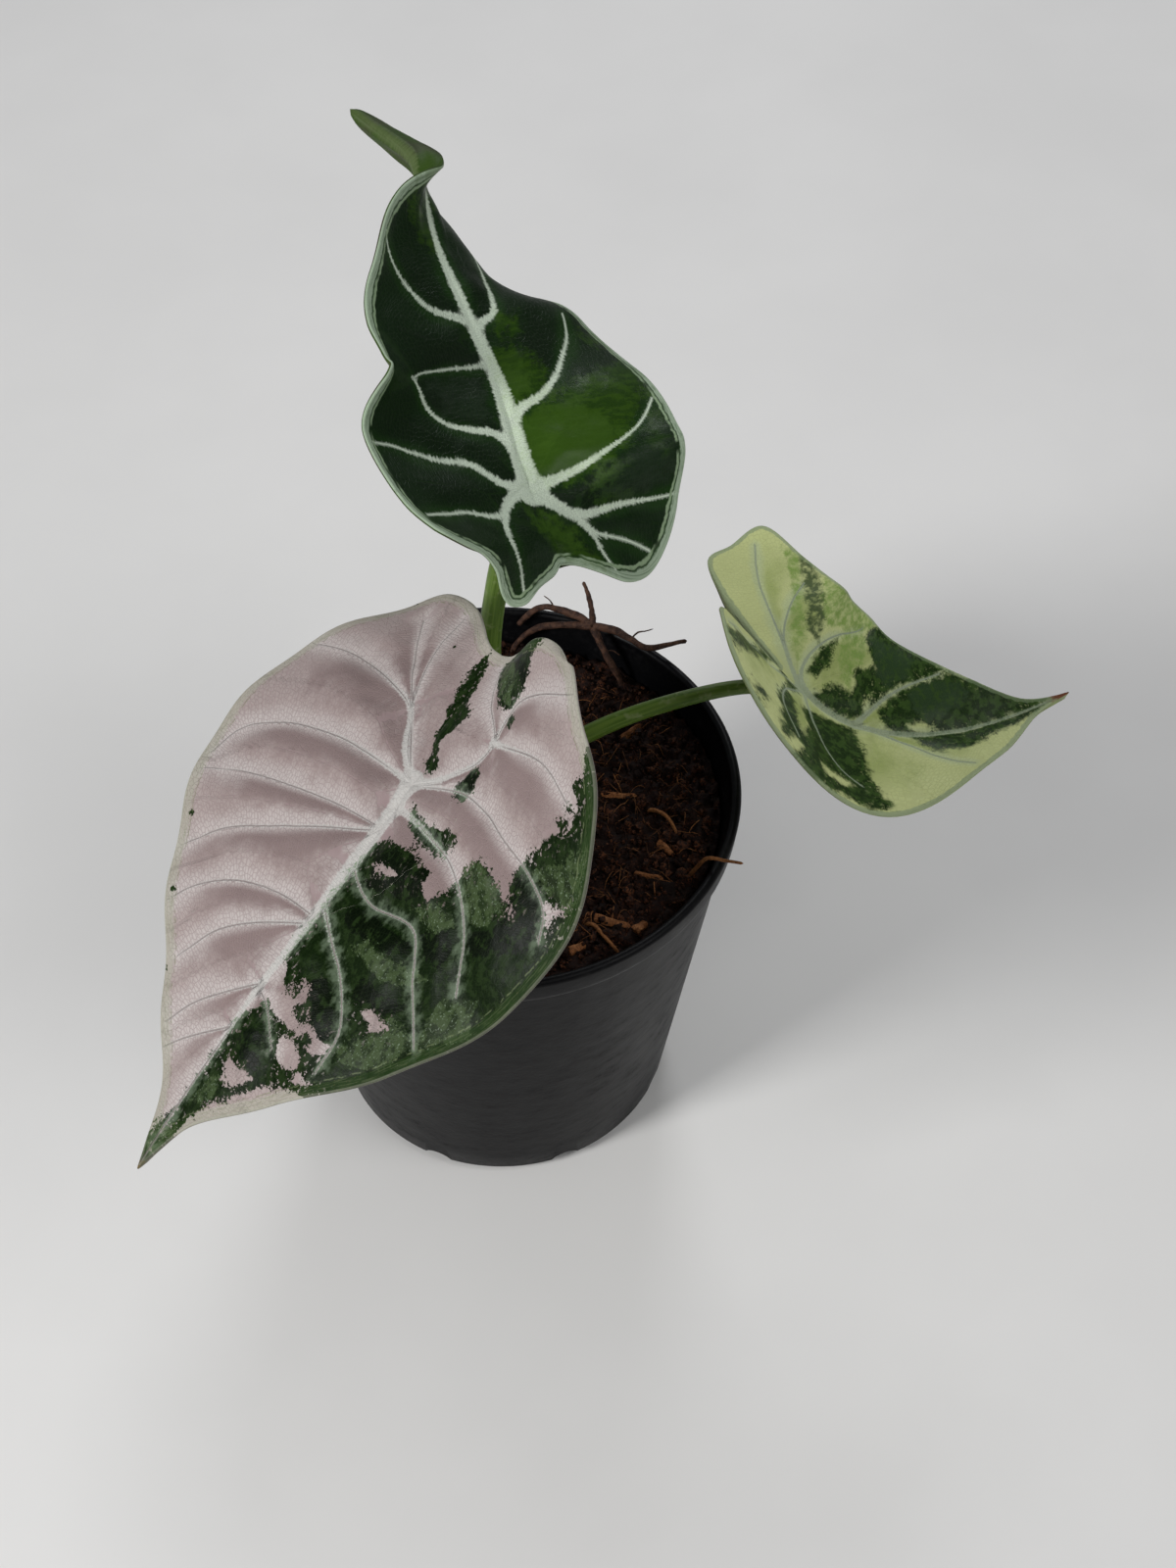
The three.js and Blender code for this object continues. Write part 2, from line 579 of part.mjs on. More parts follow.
// Assembly
const group = new THREE.Group();
function addPiece(name, solid, colour, roughness) {
  const material = new THREE.MeshStandardMaterial({ color: colour, roughness, metalness: 0 });
  const mesh = new THREE.Mesh(geometryOf(solid), material);
  mesh.name = name;
  group.add(mesh);
}

const bladeColours = { blade_front: 0xcdbcba, blade_back: 0x24401a, blade_right: 0x93a96a };
const pairs = [[frontBlade, frontStalk], [backBlade, backStalk], [rightBlade, rightStalk]];
let soil = soilSolid();
chips.forEach((chip, index) => {
  soil = soil.add(chipSolid(chip, index));
});
fibres.forEach((path) => {
  soil = soil.add(fibreSolid(path));
});
soil = soil.subtract(rootSolid(clearance));
for (const [blade, stalk] of pairs) {
  soil = soil.subtract(stalkSolid(stalk, clearance));
  addPiece(blade.name, solidOf(bladeGeometry(blade)), bladeColours[blade.name], 0.45);
  const whole = stalkSolid(stalk).subtract(solidOf(bladeGeometry(blade, clearance)));
  addPiece(stalk.name, mainBody(whole), 0x6f8a45, 0.5);
}
addPiece('soil', mainBody(soil), 0x2c1710, 0.95);
addPiece('pot', potSolid(), 0x0c0c0e, 0.4);
addPiece('dry_root', rootSolid(), 0x6e4d3b, 0.85);

export default group;
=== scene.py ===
# A young alocasia watsoniana with three blades in a round nursery pot.
# Shapes are worked out in millimetres, X right, Y away from the viewer, Z up, and go into meshes in metres.
import bpy
import math
import numpy as np
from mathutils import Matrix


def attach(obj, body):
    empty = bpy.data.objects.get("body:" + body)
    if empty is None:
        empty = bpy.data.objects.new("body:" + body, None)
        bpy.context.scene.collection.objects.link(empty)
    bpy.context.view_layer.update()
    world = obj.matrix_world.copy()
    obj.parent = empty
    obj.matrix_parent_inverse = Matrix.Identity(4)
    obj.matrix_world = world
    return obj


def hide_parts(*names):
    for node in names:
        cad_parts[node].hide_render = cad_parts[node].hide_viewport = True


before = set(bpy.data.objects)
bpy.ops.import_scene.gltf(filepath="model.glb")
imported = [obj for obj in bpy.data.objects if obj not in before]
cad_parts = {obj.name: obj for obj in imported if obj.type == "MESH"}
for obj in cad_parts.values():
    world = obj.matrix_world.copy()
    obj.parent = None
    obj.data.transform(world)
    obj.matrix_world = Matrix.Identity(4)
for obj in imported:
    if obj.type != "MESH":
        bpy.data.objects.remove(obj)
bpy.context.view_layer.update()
toMetres = 0.001

# camera where the photograph was taken from, seen as 1200 x 1600
view = dict(place=(0.019, -0.327, 0.487), tilt=39.5, lens=58.5, sensor=36.0)
cameraData = bpy.data.cameras.new("photoCamera")
cameraData.lens, cameraData.sensor_width = view["lens"], view["sensor"]
cameraData.clip_start = 0.01
camera = bpy.data.objects.new("photoCamera", cameraData)
camera.location = view["place"]
camera.rotation_euler = (math.radians(view["tilt"]), 0, 0)
bpy.context.scene.collection.objects.link(camera)
bpy.context.scene.camera = camera
bpy.context.scene.view_settings.view_transform = "Standard"


# Meshes and curves

# points and faces into one object; values are named numbers or vectors, one for each point
def makePiece(name, points, faces, material, values=None, sharpAngle=None):
    mesh = bpy.data.meshes.new(name)
    mesh.from_pydata((np.asarray(points) * toMetres).tolist(), [], [list(f) for f in faces])
    for key, numbers in (values or {}).items():
        one = numbers.ndim == 1
        layer = mesh.attributes.new(key, "FLOAT" if one else "FLOAT_VECTOR", "POINT")
        layer.data.foreach_set("value" if one else "vector", numbers.astype(np.float32).ravel())
    mesh.shade_smooth()
    if sharpAngle:
        mesh.set_sharp_from_angle(angle=math.radians(sharpAngle))
    mesh.materials.append(material)
    piece = bpy.data.objects.new(name, mesh)
    bpy.context.scene.collection.objects.link(piece)
    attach(piece, "root")
    return piece


# quads of a grid of rows by columns, closed round the columns; firstPoint shifts the numbering
def gridFaces(rows, columns, firstPoint=0):
    row, column = np.meshgrid(np.arange(rows - 1), np.arange(columns), indexing="ij")
    nextColumn = (column + 1) % columns
    a, b = row * columns + column, row * columns + nextColumn
    return np.stack([a, b, b + columns, a + columns], -1).reshape(-1, 4) + firstPoint


# faces of a form of rings closed at both ends: quads between the rings, and a fan round each of
# the two poles, which are the points after the rings
def closedFaces(rows, columns):
    first, last, end = rows * columns, rows * columns + 1, (rows - 1) * columns
    fans = [[first, (k + 1) % columns, k] for k in range(columns)]
    fans += [[last, end + k, end + (k + 1) % columns] for k in range(columns)]
    return gridFaces(rows, columns).tolist() + fans


# even points on a smooth curve through a few: centripetal Catmull-Rom, whose tangents weigh
# the neighbours by the square root of their distance, read off at equal arc lengths
def flowThrough(points, count):
    p = np.asarray(points, float)
    p = np.vstack([2 * p[0] - p[1], p, 2 * p[-1] - p[-2]])
    gap = np.linalg.norm(np.diff(p, axis=0), axis=1)[:, None] ** 0.5
    (a, b, c, d), (g0, g1, g2) = (p[:-3], p[1:-2], p[2:-1], p[3:]), (gap[:-2], gap[1:-1], gap[2:])
    leave = ((b - a) / g0 - (c - a) / (g0 + g1) + (c - b) / g1) * g1
    arrive = ((c - b) / g1 - (d - b) / (g1 + g2) + (d - c) / g2) * g1
    t = np.linspace(0, 1, 80, endpoint=False)[None, :, None]
    b, c, leave, arrive = b[:, None], c[:, None], leave[:, None], arrive[:, None]
    spans = b + leave * t + (3 * (c - b) - 2 * leave - arrive) * t**2 + (2 * (b - c) + leave + arrive) * t**3
    line = np.vstack([spans.reshape(-1, p.shape[1]), p[-2]])
    length = np.concatenate([[0], np.cumsum(np.linalg.norm(np.diff(line, axis=0), axis=1))])
    even = np.linspace(0, length[-1], count)
    return np.stack([np.interp(even, length, line[:, k]) for k in range(line.shape[1])], -1)


# a round skin along a path: each ring stands square to the path, and its directions are
# carried from ring to ring without twist; radius is a function of share and turn
def tubeForm(path, steps, sides, radius, rounded=0.0):
    line = flowThrough(path, steps)
    ahead = np.gradient(line, axis=0)
    ahead /= np.linalg.norm(ahead, axis=1)[:, None]
    out = np.cross(ahead[0], [0.3, 0.9, 0.31])
    sideways = []
    for direction in ahead:
        out = out - direction * np.dot(out, direction)
        out = out / np.linalg.norm(out)
        sideways.append(out)
    sideways = np.array(sideways)
    other = np.cross(ahead, sideways)
    share = np.linspace(0, 1, steps)[:, None]
    turn = np.linspace(0, 2 * np.pi, sides, endpoint=False)[None, :]
    size = radius(share, turn) * np.ones((steps, sides))
    if rounded:
        fromEnd = np.minimum(share, 1 - share) * np.linalg.norm(np.diff(line, axis=0), axis=1).sum()
        size = size * np.sqrt(np.clip(1 - (1 - np.clip(fromEnd / rounded, 0, 1)) ** 2, 0.02, 1))
    ring = np.cos(turn)[..., None] * sideways[:, None] + np.sin(turn)[..., None] * other[:, None]
    points = np.vstack([(line[:, None] + size[..., None] * ring).reshape(-1, 3), line[:1], line[-1:]])
    along = np.concatenate([np.repeat(share[:, 0], sides), [0, 1]])
    return points, closedFaces(steps, sides), along


# several forms with their named values as one
def joinForms(forms):
    points, faces, values, start = [], [], {}, 0
    for form in forms:
        points.append(form[0])
        faces += [[corner + start for corner in face] for face in form[1]]
        for key, numbers in form[2].items():
            values.setdefault(key, []).append(numbers)
        start += len(form[0])
    return np.vstack(points), faces, {key: np.concatenate(v) for key, v in values.items()}


# a form with one tint all over
def tinted(form, tint):
    return form[0], form[1], {"tint": np.full(len(form[0]), tint)}


# soft random height: values on a square lattice, blended with an ease curve between them
def softNoise(x, y, size, seed):
    lattice = np.random.default_rng(seed).uniform(-1, 1, (128, 128))
    u, v = np.asarray(x) / size + 64.3, np.asarray(y) / size + 64.7
    i, j = np.floor(u).astype(int), np.floor(v).astype(int)
    f, g = u - i, v - j
    f, g = f * f * (3 - 2 * f), g * g * (3 - 2 * g)
    i, j = i % 127, j % 127
    low = lattice[i, j] * (1 - f) + lattice[i + 1, j] * f
    high = lattice[i, j + 1] * (1 - f) + lattice[i + 1, j + 1] * f
    return low * (1 - g) + high * g


# Node helpers and shared effects

# outputs of one new node; feeds are its inputs by place or name, each a number, a colour or
# another node's socket
def addNode(tree, kind, feeds=(), **settings):
    made = tree.nodes.new("ShaderNode" + kind)
    for key, value in settings.items():
        setattr(made, key, value)
    for key, value in (feeds.items() if isinstance(feeds, dict) else enumerate(feeds)):
        if isinstance(value, bpy.types.NodeSocket):
            tree.links.new(value, made.inputs[key])
        else:
            made.inputs[key].default_value = opaque(value) if made.inputs[key].type == "RGBA" else value
    return made.outputs


def opaque(colour):
    return (*colour, 1.0)


def calc(tree, operation, *feeds):
    return addNode(tree, "Math", feeds, operation=operation)[0]


def plus(tree, first, second):
    return calc(tree, "ADD", first, second)


def minus(tree, first, second):
    return calc(tree, "SUBTRACT", first, second)


def times(tree, first, second):
    return calc(tree, "MULTIPLY", first, second)


# first times second, plus third
def timesPlus(tree, first, second, third):
    return calc(tree, "MULTIPLY_ADD", first, second, third)


def larger(tree, first, second):
    return calc(tree, "MAXIMUM", first, second)


def stretched(tree, place, by):
    return addNode(tree, "VectorMath", [place, by], operation="MULTIPLY")[0]


def parts(tree, vector):
    return addNode(tree, "SeparateXYZ", [vector])


def vectorOf(tree, *three):
    return addNode(tree, "CombineXYZ", three)[0]


def blend(tree, share, first, second):
    return addNode(tree, "Mix", {0: share, 6: first, 7: second}, data_type="RGBA")[2]


# 0 below low, 1 above high, with a soft step between
def softStep(tree, value, low, high):
    return addNode(tree, "MapRange", {0: value, 1: low, 2: high}, interpolation_type="SMOOTHSTEP")[0]


def noise(tree, place, scale, detail=3.0, roughness=0.55):
    feeds = {"Vector": place, "Scale": scale, "Detail": detail, "Roughness": roughness}
    return addNode(tree, "TexNoise", feeds)[0]


# a piece's own value, one for each point
def ownValue(tree, name, kind="Fac"):
    return addNode(tree, "Attribute", attribute_name=name)[kind]


def objectPlace(tree):
    return addNode(tree, "TexCoord")["Object"]


# an empty shader group with named sockets; a kind is Float, Vector or Color
def newGroup(name, takes, gives):
    group = bpy.data.node_groups.new(name, "ShaderNodeTree")
    for label, kind, start in takes:
        socket = group.interface.new_socket(label, in_out="INPUT", socket_type="NodeSocket" + kind)
        if start is not None:
            socket.default_value = opaque(start) if kind == "Color" else start
    for label, kind in gives:
        group.interface.new_socket(label, in_out="OUTPUT", socket_type="NodeSocket" + kind)
    return group, group.nodes.new("NodeGroupInput").outputs, group.nodes.new("NodeGroupOutput").inputs


def useGroup(tree, group, feeds):
    return addNode(tree, "Group", feeds, node_tree=group)


# a patch with a torn edge: its distance field is pushed about by a broad and a fine noise
def buildTornPatch():
    group, take, give = newGroup("tornPatch", [
        ("Field", "Float", 0.0), ("Place", "Vector", None), ("Torn", "Float", 1.0),
        ("Fleck", "Float", 0.5), ("Soft", "Float", 0.2)], [("Mask", "Float")])
    broad = timesPlus(group, noise(group, take["Place"], 0.42, 5.0, 0.66), 2.0, -1.0)
    fine = timesPlus(group, noise(group, take["Place"], 1.9, 3.0, 0.6), 2.0, -1.0)
    crumbly = softStep(group, noise(group, take["Place"], 0.21, 2.0), 0.46, 0.6)
    fine = times(group, fine, timesPlus(group, crumbly, 0.8, 0.2))
    pushed = timesPlus(group, broad, take["Torn"], take["Field"])
    pushed = timesPlus(group, fine, take["Fleck"], pushed)
    low = times(group, take["Soft"], -1.0)
    group.links.new(softStep(group, pushed, low, take["Soft"]), give["Mask"])
    return group


# veins of every rank: the main veins have edges feathered in short strokes, the combs between
# them are fine lines square to the nearest vein, the loops run midway between two veins, and
# the cells are the last mesh of lines; the thread is a thin line along a vein's own middle
def buildVeinNet():
    group, take, give = newGroup("veinNet", [
        ("Vein", "Vector", None), ("Place", "Vector", None), ("Near", "Float", 1.0),
        ("Feather", "Float", 0.15), ("Comb Gap", "Float", 0.55)],
        [("Main", "Float"), ("Fine", "Float"), ("Thread", "Float"), ("Core", "Float")])
    vein = parts(group, take["Vein"])
    across = times(group, vein[0], 0.35)
    stroke = vectorOf(group, vein[1], across, 0.0)
    ragged = timesPlus(group, noise(group, stroke, 1.5, 4.0, 0.7), 2.0, -1.0)
    edge = timesPlus(group, ragged, take["Feather"], vein[0])
    soft = times(group, take["Feather"], 0.3)
    group.links.new(softStep(group, edge, 0.1, -0.6), give["Core"])
    near = calc(group, "ABSOLUTE", take["Near"])
    close = softStep(group, vein[0], 0.45, 0.15)
    ridge = times(group, softStep(group, near, 0.42, 0.12), times(group, close, 0.7))
    group.links.new(larger(group, softStep(group, edge, soft, times(group, soft, -1.0)), ridge),
                    give["Main"])
    thin = times(group, softStep(group, near, 0.15, 0.06), softStep(group, vein[0], -0.5, -0.2))
    group.links.new(times(group, thin, close), give["Thread"])
    wander = times(group, noise(group, take["Place"], 0.28, 2.0), 14.0)
    turns = calc(group, "DIVIDE", times(group, vein[1], 6.2832), take["Comb Gap"])
    line = calc(group, "SINE", plus(group, turns, wander))
    comb = times(group, softStep(group, line, 0.35, 1.0), vein[2])
    wobble = timesPlus(group, noise(group, take["Place"], 0.9, 2.0), 0.5, -0.25)
    loop = softStep(group, plus(group, vein[2], wobble), 0.2, 0.06)
    feeds = {"Vector": take["Place"], "Scale": 1.05, "Randomness": 0.85}
    cells = addNode(group, "TexVoronoi", feeds, feature="DISTANCE_TO_EDGE", voronoi_dimensions="2D")
    mesh = times(group, softStep(group, cells[0], 0.11, 0.0), 0.75)
    fine = larger(group, times(group, comb, 0.55), larger(group, loop, mesh))
    group.links.new(fine, give["Fine"])
    return group


# paint of one blade, from the ground up: patches, fine veins, main veins, margin, tip, underside
def buildLeafPaint(tornPatch, veinNet):
    places = ("Flat", "Vein", "Marks", "Rim")
    colours = ("Painted Shade", "Ground", "Beside Vein", "Patch", "Patch Light", "Second", "Third", "Vein Colour",
               "Vein On Patch", "Fine Vein", "Fine On Patch", "Thread", "Margin", "Margin On Patch",
               "Rim Line", "Loop Vein", "Under", "Under Blush", "Under Vein", "Tip")
    amounts = {"Pleat": 0.0, "Torn": 1.0, "Fleck": 0.5, "Soft": 0.2, "Feather": 0.15, "Milk": 0.0,
               "Net": 0.3, "Net On Patch": 0.1, "Cream Reach": 3.0, "Margin Width": 2.4,
               "Margin Cover": 0.88, "Line Place": 2.6, "Line Cover": 0.85, "Loop Place": 3.0,
               "Loop Width": 0.0, "Tip Reach": 1.0, "Rust Reach": 0.0, "Islands": 0.0}
    takes = [(name, "Vector", None) for name in places] + [("Streak", "Vector", (1, 1, 1))]
    takes += [(name, "Color", (0, 0, 0)) for name in colours]
    takes += [(name, "Float", amount) for name, amount in amounts.items()]
    gives = [("Colour", "Color"), ("Gloss Loss", "Float"), ("Height", "Float")]
    group, take, give = newGroup("leafPaint", takes, gives)
    flat = parts(group, take["Flat"])
    place = vectorOf(group, flat[0], flat[1], 0.0)
    marks = parts(group, take["Marks"])
    rim = parts(group, take["Rim"])
    veinEdge = parts(group, take["Vein"])[0]
    edges = {"Place": place, "Torn": take["Torn"], "Fleck": take["Fleck"], "Soft": take["Soft"]}
    patch = useGroup(group, tornPatch, {**edges, "Field": marks[0]})[0]
    second = useGroup(group, tornPatch, {**edges, "Field": marks[1]})[0]
    third = useGroup(group, tornPatch, {**edges, "Field": marks[2]})[0]
    net = useGroup(group, veinNet, {"Vein": take["Vein"], "Place": place, "Near": rim[1],
                                    "Feather": take["Feather"]})
    pulled = stretched(group, place, take["Streak"])
    mottle = noise(group, pulled, 0.55, 5.0, 0.62)
    crumb = noise(group, pulled, 2.4, 3.0, 0.65)
    cloud = noise(group, place, 0.13, 3.0, 0.5)

    # the pale ground turns creamier beside the veins, partly a real tone and partly painted light, the panel
    # middles darker as painted shade; the patches are mottled in three tones
    lean = timesPlus(group, cloud, 4.0, minus(group, veinEdge, 2.0))
    ground = blend(group, softStep(group, lean, take["Cream Reach"], 0.2), take["Ground"],
                   take["Beside Vein"])
    # painted shade: on one side of each vein, away from the margin, the ground is darkened to stand in for
    # the shade of the quilted panels
    sway = timesPlus(group, cloud, 1.2, minus(group, take["Pleat"], 1.1))
    sway = timesPlus(group, mottle, 1.0, sway)
    paintedShade = times(group, softStep(group, sway, -0.6, 0.35), softStep(group, take["Pleat"], 1.0, 0.55))
    paintedShade = times(group, paintedShade, softStep(group, timesPlus(group, cloud, 14.0, rim[0]), 8.0, 22.0))
    ground = blend(group, paintedShade, ground, take["Painted Shade"])
    patchPaint = blend(group, softStep(group, mottle, 0.46, 0.57), take["Patch"], take["Patch Light"])
    patchPaint = blend(group, times(group, softStep(group, crumb, 0.57, 0.64), 0.55),
                       patchPaint, take["Patch Light"])
    inside = times(group, softStep(group, marks[0], 3.6, 0.6), softStep(group, cloud, 0.36, 0.52))
    inside = times(group, inside, take["Islands"])
    bits = times(group, softStep(group, noise(group, pulled, 1.25, 3.0, 0.6), 0.59, 0.63), inside)
    patch = times(group, patch, minus(group, 1.0, bits))
    paint = blend(group, patch, ground, patchPaint)
    spreadOut = timesPlus(group, take["Soft"], 0.12, 0.04)
    darker = times(group, second, softStep(group, mottle, plus(group, 0.57, spreadOut),
                                                     minus(group, 0.57, spreadOut)))
    paint = blend(group, times(group, darker, 0.9), paint, take["Second"])
    mixed = softStep(group, mottle, minus(group, 0.48, spreadOut), plus(group, 0.48, spreadOut))
    lighter = timesPlus(group, mixed, 0.65, 0.25)
    lighter = times(group, third, lighter)
    paint = blend(group, lighter, paint, take["Third"])
    islands = times(group, third, softStep(group, crumb, 0.58, 0.66))
    islands = times(group, islands, times(group, take["Milk"], 1.7))
    paint = blend(group, islands, paint, take["Vein On Patch"])
    onPatch = larger(group, patch, times(group, second, 0.7))
    milk = timesPlus(group, mottle, -7.0, plus(group, veinEdge, 3.4))
    milk = times(group, softStep(group, milk, 1.6, -0.6), times(group, onPatch, take["Milk"]))
    paint = blend(group, milk, paint, take["Vein On Patch"])

    fineColour = blend(group, onPatch, take["Fine Vein"], take["Fine On Patch"])
    netShare = addNode(group, "Mix", {0: onPatch, 2: take["Net"], 3: take["Net On Patch"]})[0]
    paint = blend(group, times(group, net["Fine"], netShare), paint, fineColour)
    fibre = times(group, onPatch, softStep(group, crumb, 0.38, 0.62))
    veinColour = blend(group, fibre, take["Vein Colour"], take["Vein On Patch"])
    silver = timesPlus(group, softStep(group, noise(group, place, 4.2, 3.0, 0.75), 0.38, 0.6), 0.3, 0.66)
    paint = blend(group, times(group, net["Main"], silver), paint, veinColour)
    paint = blend(group, times(group, net["Thread"], 0.75), paint, take["Thread"])

    # margin: a band with lines along it, then a thin broken line, then the vein that joins the loops
    wobble = timesPlus(group, noise(group, place, 0.6, 2.0), 0.8, -0.4)
    inward = plus(group, rim[0], wobble)
    slow = stretched(group, place, (0.16, 0.16, 0.0))
    lines = vectorOf(group, times(group, rim[0], 2.2), 0.0, 0.0)
    lines = noise(group, addNode(group, "VectorMath", [slow, lines], operation="ADD")[0], 2.2, 3.0, 0.6)
    inner = times(group, take["Margin Width"], 0.8)
    outer = softStep(group, inward, take["Margin Width"], inner)
    band = blend(group, onPatch, take["Margin"], take["Margin On Patch"])
    band = blend(group, times(group, softStep(group, lines, 0.48, 0.64), 0.55), band, take["Rim Line"])
    cover = times(group, take["Margin Cover"], timesPlus(group, onPatch, -0.35, 1.0))
    paint = blend(group, times(group, outer, cover), paint, band)
    hem = times(group, softStep(group, rim[0], 0.4, 0.12), timesPlus(group, onPatch, -0.55, 0.8))
    paint = blend(group, hem, paint, take["Margin"])
    off = calc(group, "ABSOLUTE", minus(group, inward, take["Line Place"]))
    broken = softStep(group, noise(group, place, 0.8, 3.0), 0.42, 0.54)
    thin = times(group, softStep(group, off, 0.17, 0.05), times(group, broken, take["Line Cover"]))
    paint = blend(group, thin, paint, take["Rim Line"])
    off = calc(group, "ABSOLUTE", minus(group, inward, take["Loop Place"]))
    loop = softStep(group, off, take["Loop Width"], times(group, take["Loop Width"], 0.4))
    gaps = softStep(group, noise(group, place, 0.22, 2.0), 0.36, 0.52)
    paint = blend(group, times(group, loop, gaps), paint, take["Loop Vein"])
    atTip = softStep(group, timesPlus(group, wobble, 5.0, rim[2]), take["Tip Reach"],
                     times(group, take["Tip Reach"], 0.5))
    paint = blend(group, atTip, paint, take["Tip"])
    rust = times(group, softStep(group, crumb, 0.64, 0.7), softStep(group, rim[0], 3.0, 1.0))
    rust = times(group, rust, softStep(group, rim[2], take["Rust Reach"], 0.0))
    paint = blend(group, times(group, rust, 0.8), paint, take["Tip"])

    under = blend(group, softStep(group, cloud, 0.42, 0.62), take["Under"], take["Under Blush"])
    under = blend(group, times(group, patch, 0.4), under, take["Patch Light"])
    under = blend(group, times(group, net["Fine"], 0.18), under, take["Under Vein"])
    under = blend(group, times(group, net["Main"], 0.85), under, take["Under Vein"])
    upper = softStep(group, flat[2], 0.35, 0.65)
    group.links.new(blend(group, upper, under, paint), give["Colour"])

    veined = larger(group, net["Main"], times(group, outer, 0.8))
    dull = larger(group, veined, minus(group, 1.0, upper))
    pale = timesPlus(group, onPatch, -0.5, plus(group, dull, 0.5))
    group.links.new(timesPlus(group, mottle, 0.3, pale), give["Gloss Loss"])
    calm = timesPlus(group, onPatch, 0.36, -0.45)
    height = timesPlus(group, net["Fine"], calm, times(group, net["Core"], 0.8))
    height = timesPlus(group, noise(group, place, 0.4, 1.0), 0.9, height)
    group.links.new(timesPlus(group, net["Thread"], -0.8, height), give["Height"])
    return group


tornPatch = buildTornPatch()
veinNet = buildVeinNet()
leafPaint = buildLeafPaint(tornPatch, veinNet)


# fine grain for mould-made, woody and fleshy surfaces: a stretched noise over a close one
def buildGrain():
    group, take, give = newGroup("grain", [
        ("Place", "Vector", None), ("Scale", "Float", 300.0), ("Stretch", "Vector", (1, 1, 1)),
        ("Detail", "Float", 4.0)], [("Broad", "Float"), ("Close", "Float")])
    pulled = stretched(group, take["Place"], take["Stretch"])
    broad = noise(group, pulled, take["Scale"], take["Detail"], 0.6)
    close = noise(group, take["Place"], times(group, take["Scale"], 6.0), 2.0, 0.6)
    group.links.new(broad, give["Broad"])
    group.links.new(close, give["Close"])
    return group


grain = buildGrain()


# a material with a Principled shader; returns its tree and the shader
def newMaterial(name, **constants):
    material = bpy.data.materials.new(name)
    material.use_nodes = True
    tree = material.node_tree
    shader = tree.nodes["Principled BSDF"]
    for key, value in constants.items():
        shader.inputs[key.replace("_", " ")].default_value = value
    return material, tree, shader


def dressShader(tree, shader, skin, roughness, height, distance, strength=1.0):
    relief = addNode(tree, "Bump", {"Height": height, "Distance": distance, "Strength": strength})[0]
    for socket, feed in (("Base Color", skin), ("Roughness", roughness), ("Normal", relief)):
        tree.links.new(feed, shader.inputs[socket])


def leafMaterial(name, look):
    material, tree, shader = newMaterial(name, Specular_IOR_Level=look["specular"])
    feeds = {label: ownValue(tree, label.lower(), "Vector") for label in ("Flat", "Vein", "Marks", "Rim")}
    feeds["Pleat"] = ownValue(tree, "pleat")
    painted = useGroup(tree, leafPaint, {**feeds, **look["paint"]})
    rough = timesPlus(tree, painted["Gloss Loss"], look["roughRange"], look["roughness"])
    dressShader(tree, shader, painted["Colour"], rough, painted["Height"], look["bump"])
    return material


# The blades
# Half outlines from tip to sinus: across as a share of the half width, along as a share of the
# length ahead of the stalk or of the lobe behind it.
# A station bends the blade where it crosses the midrib: along, heading, pitch, roll, left rise,
# left curl, right rise, right curl. A vein is its half width at the start and at the end, then
# across and along points. Patches are outlines in the same flat millimetres.

tipPart = [[0, 1], [0.05, 0.97], [0.12, 0.87], [0.18, 0.74], [0.46, 0.58], [0.78, 0.4], [0.96, 0.2],
           [1, 0.02]]
heartPart = [[0, 1], [0.02, 0.95], [0.09, 0.85], [0.36, 0.68], [0.68, 0.46], [0.92, 0.22], [1, 0.02]]

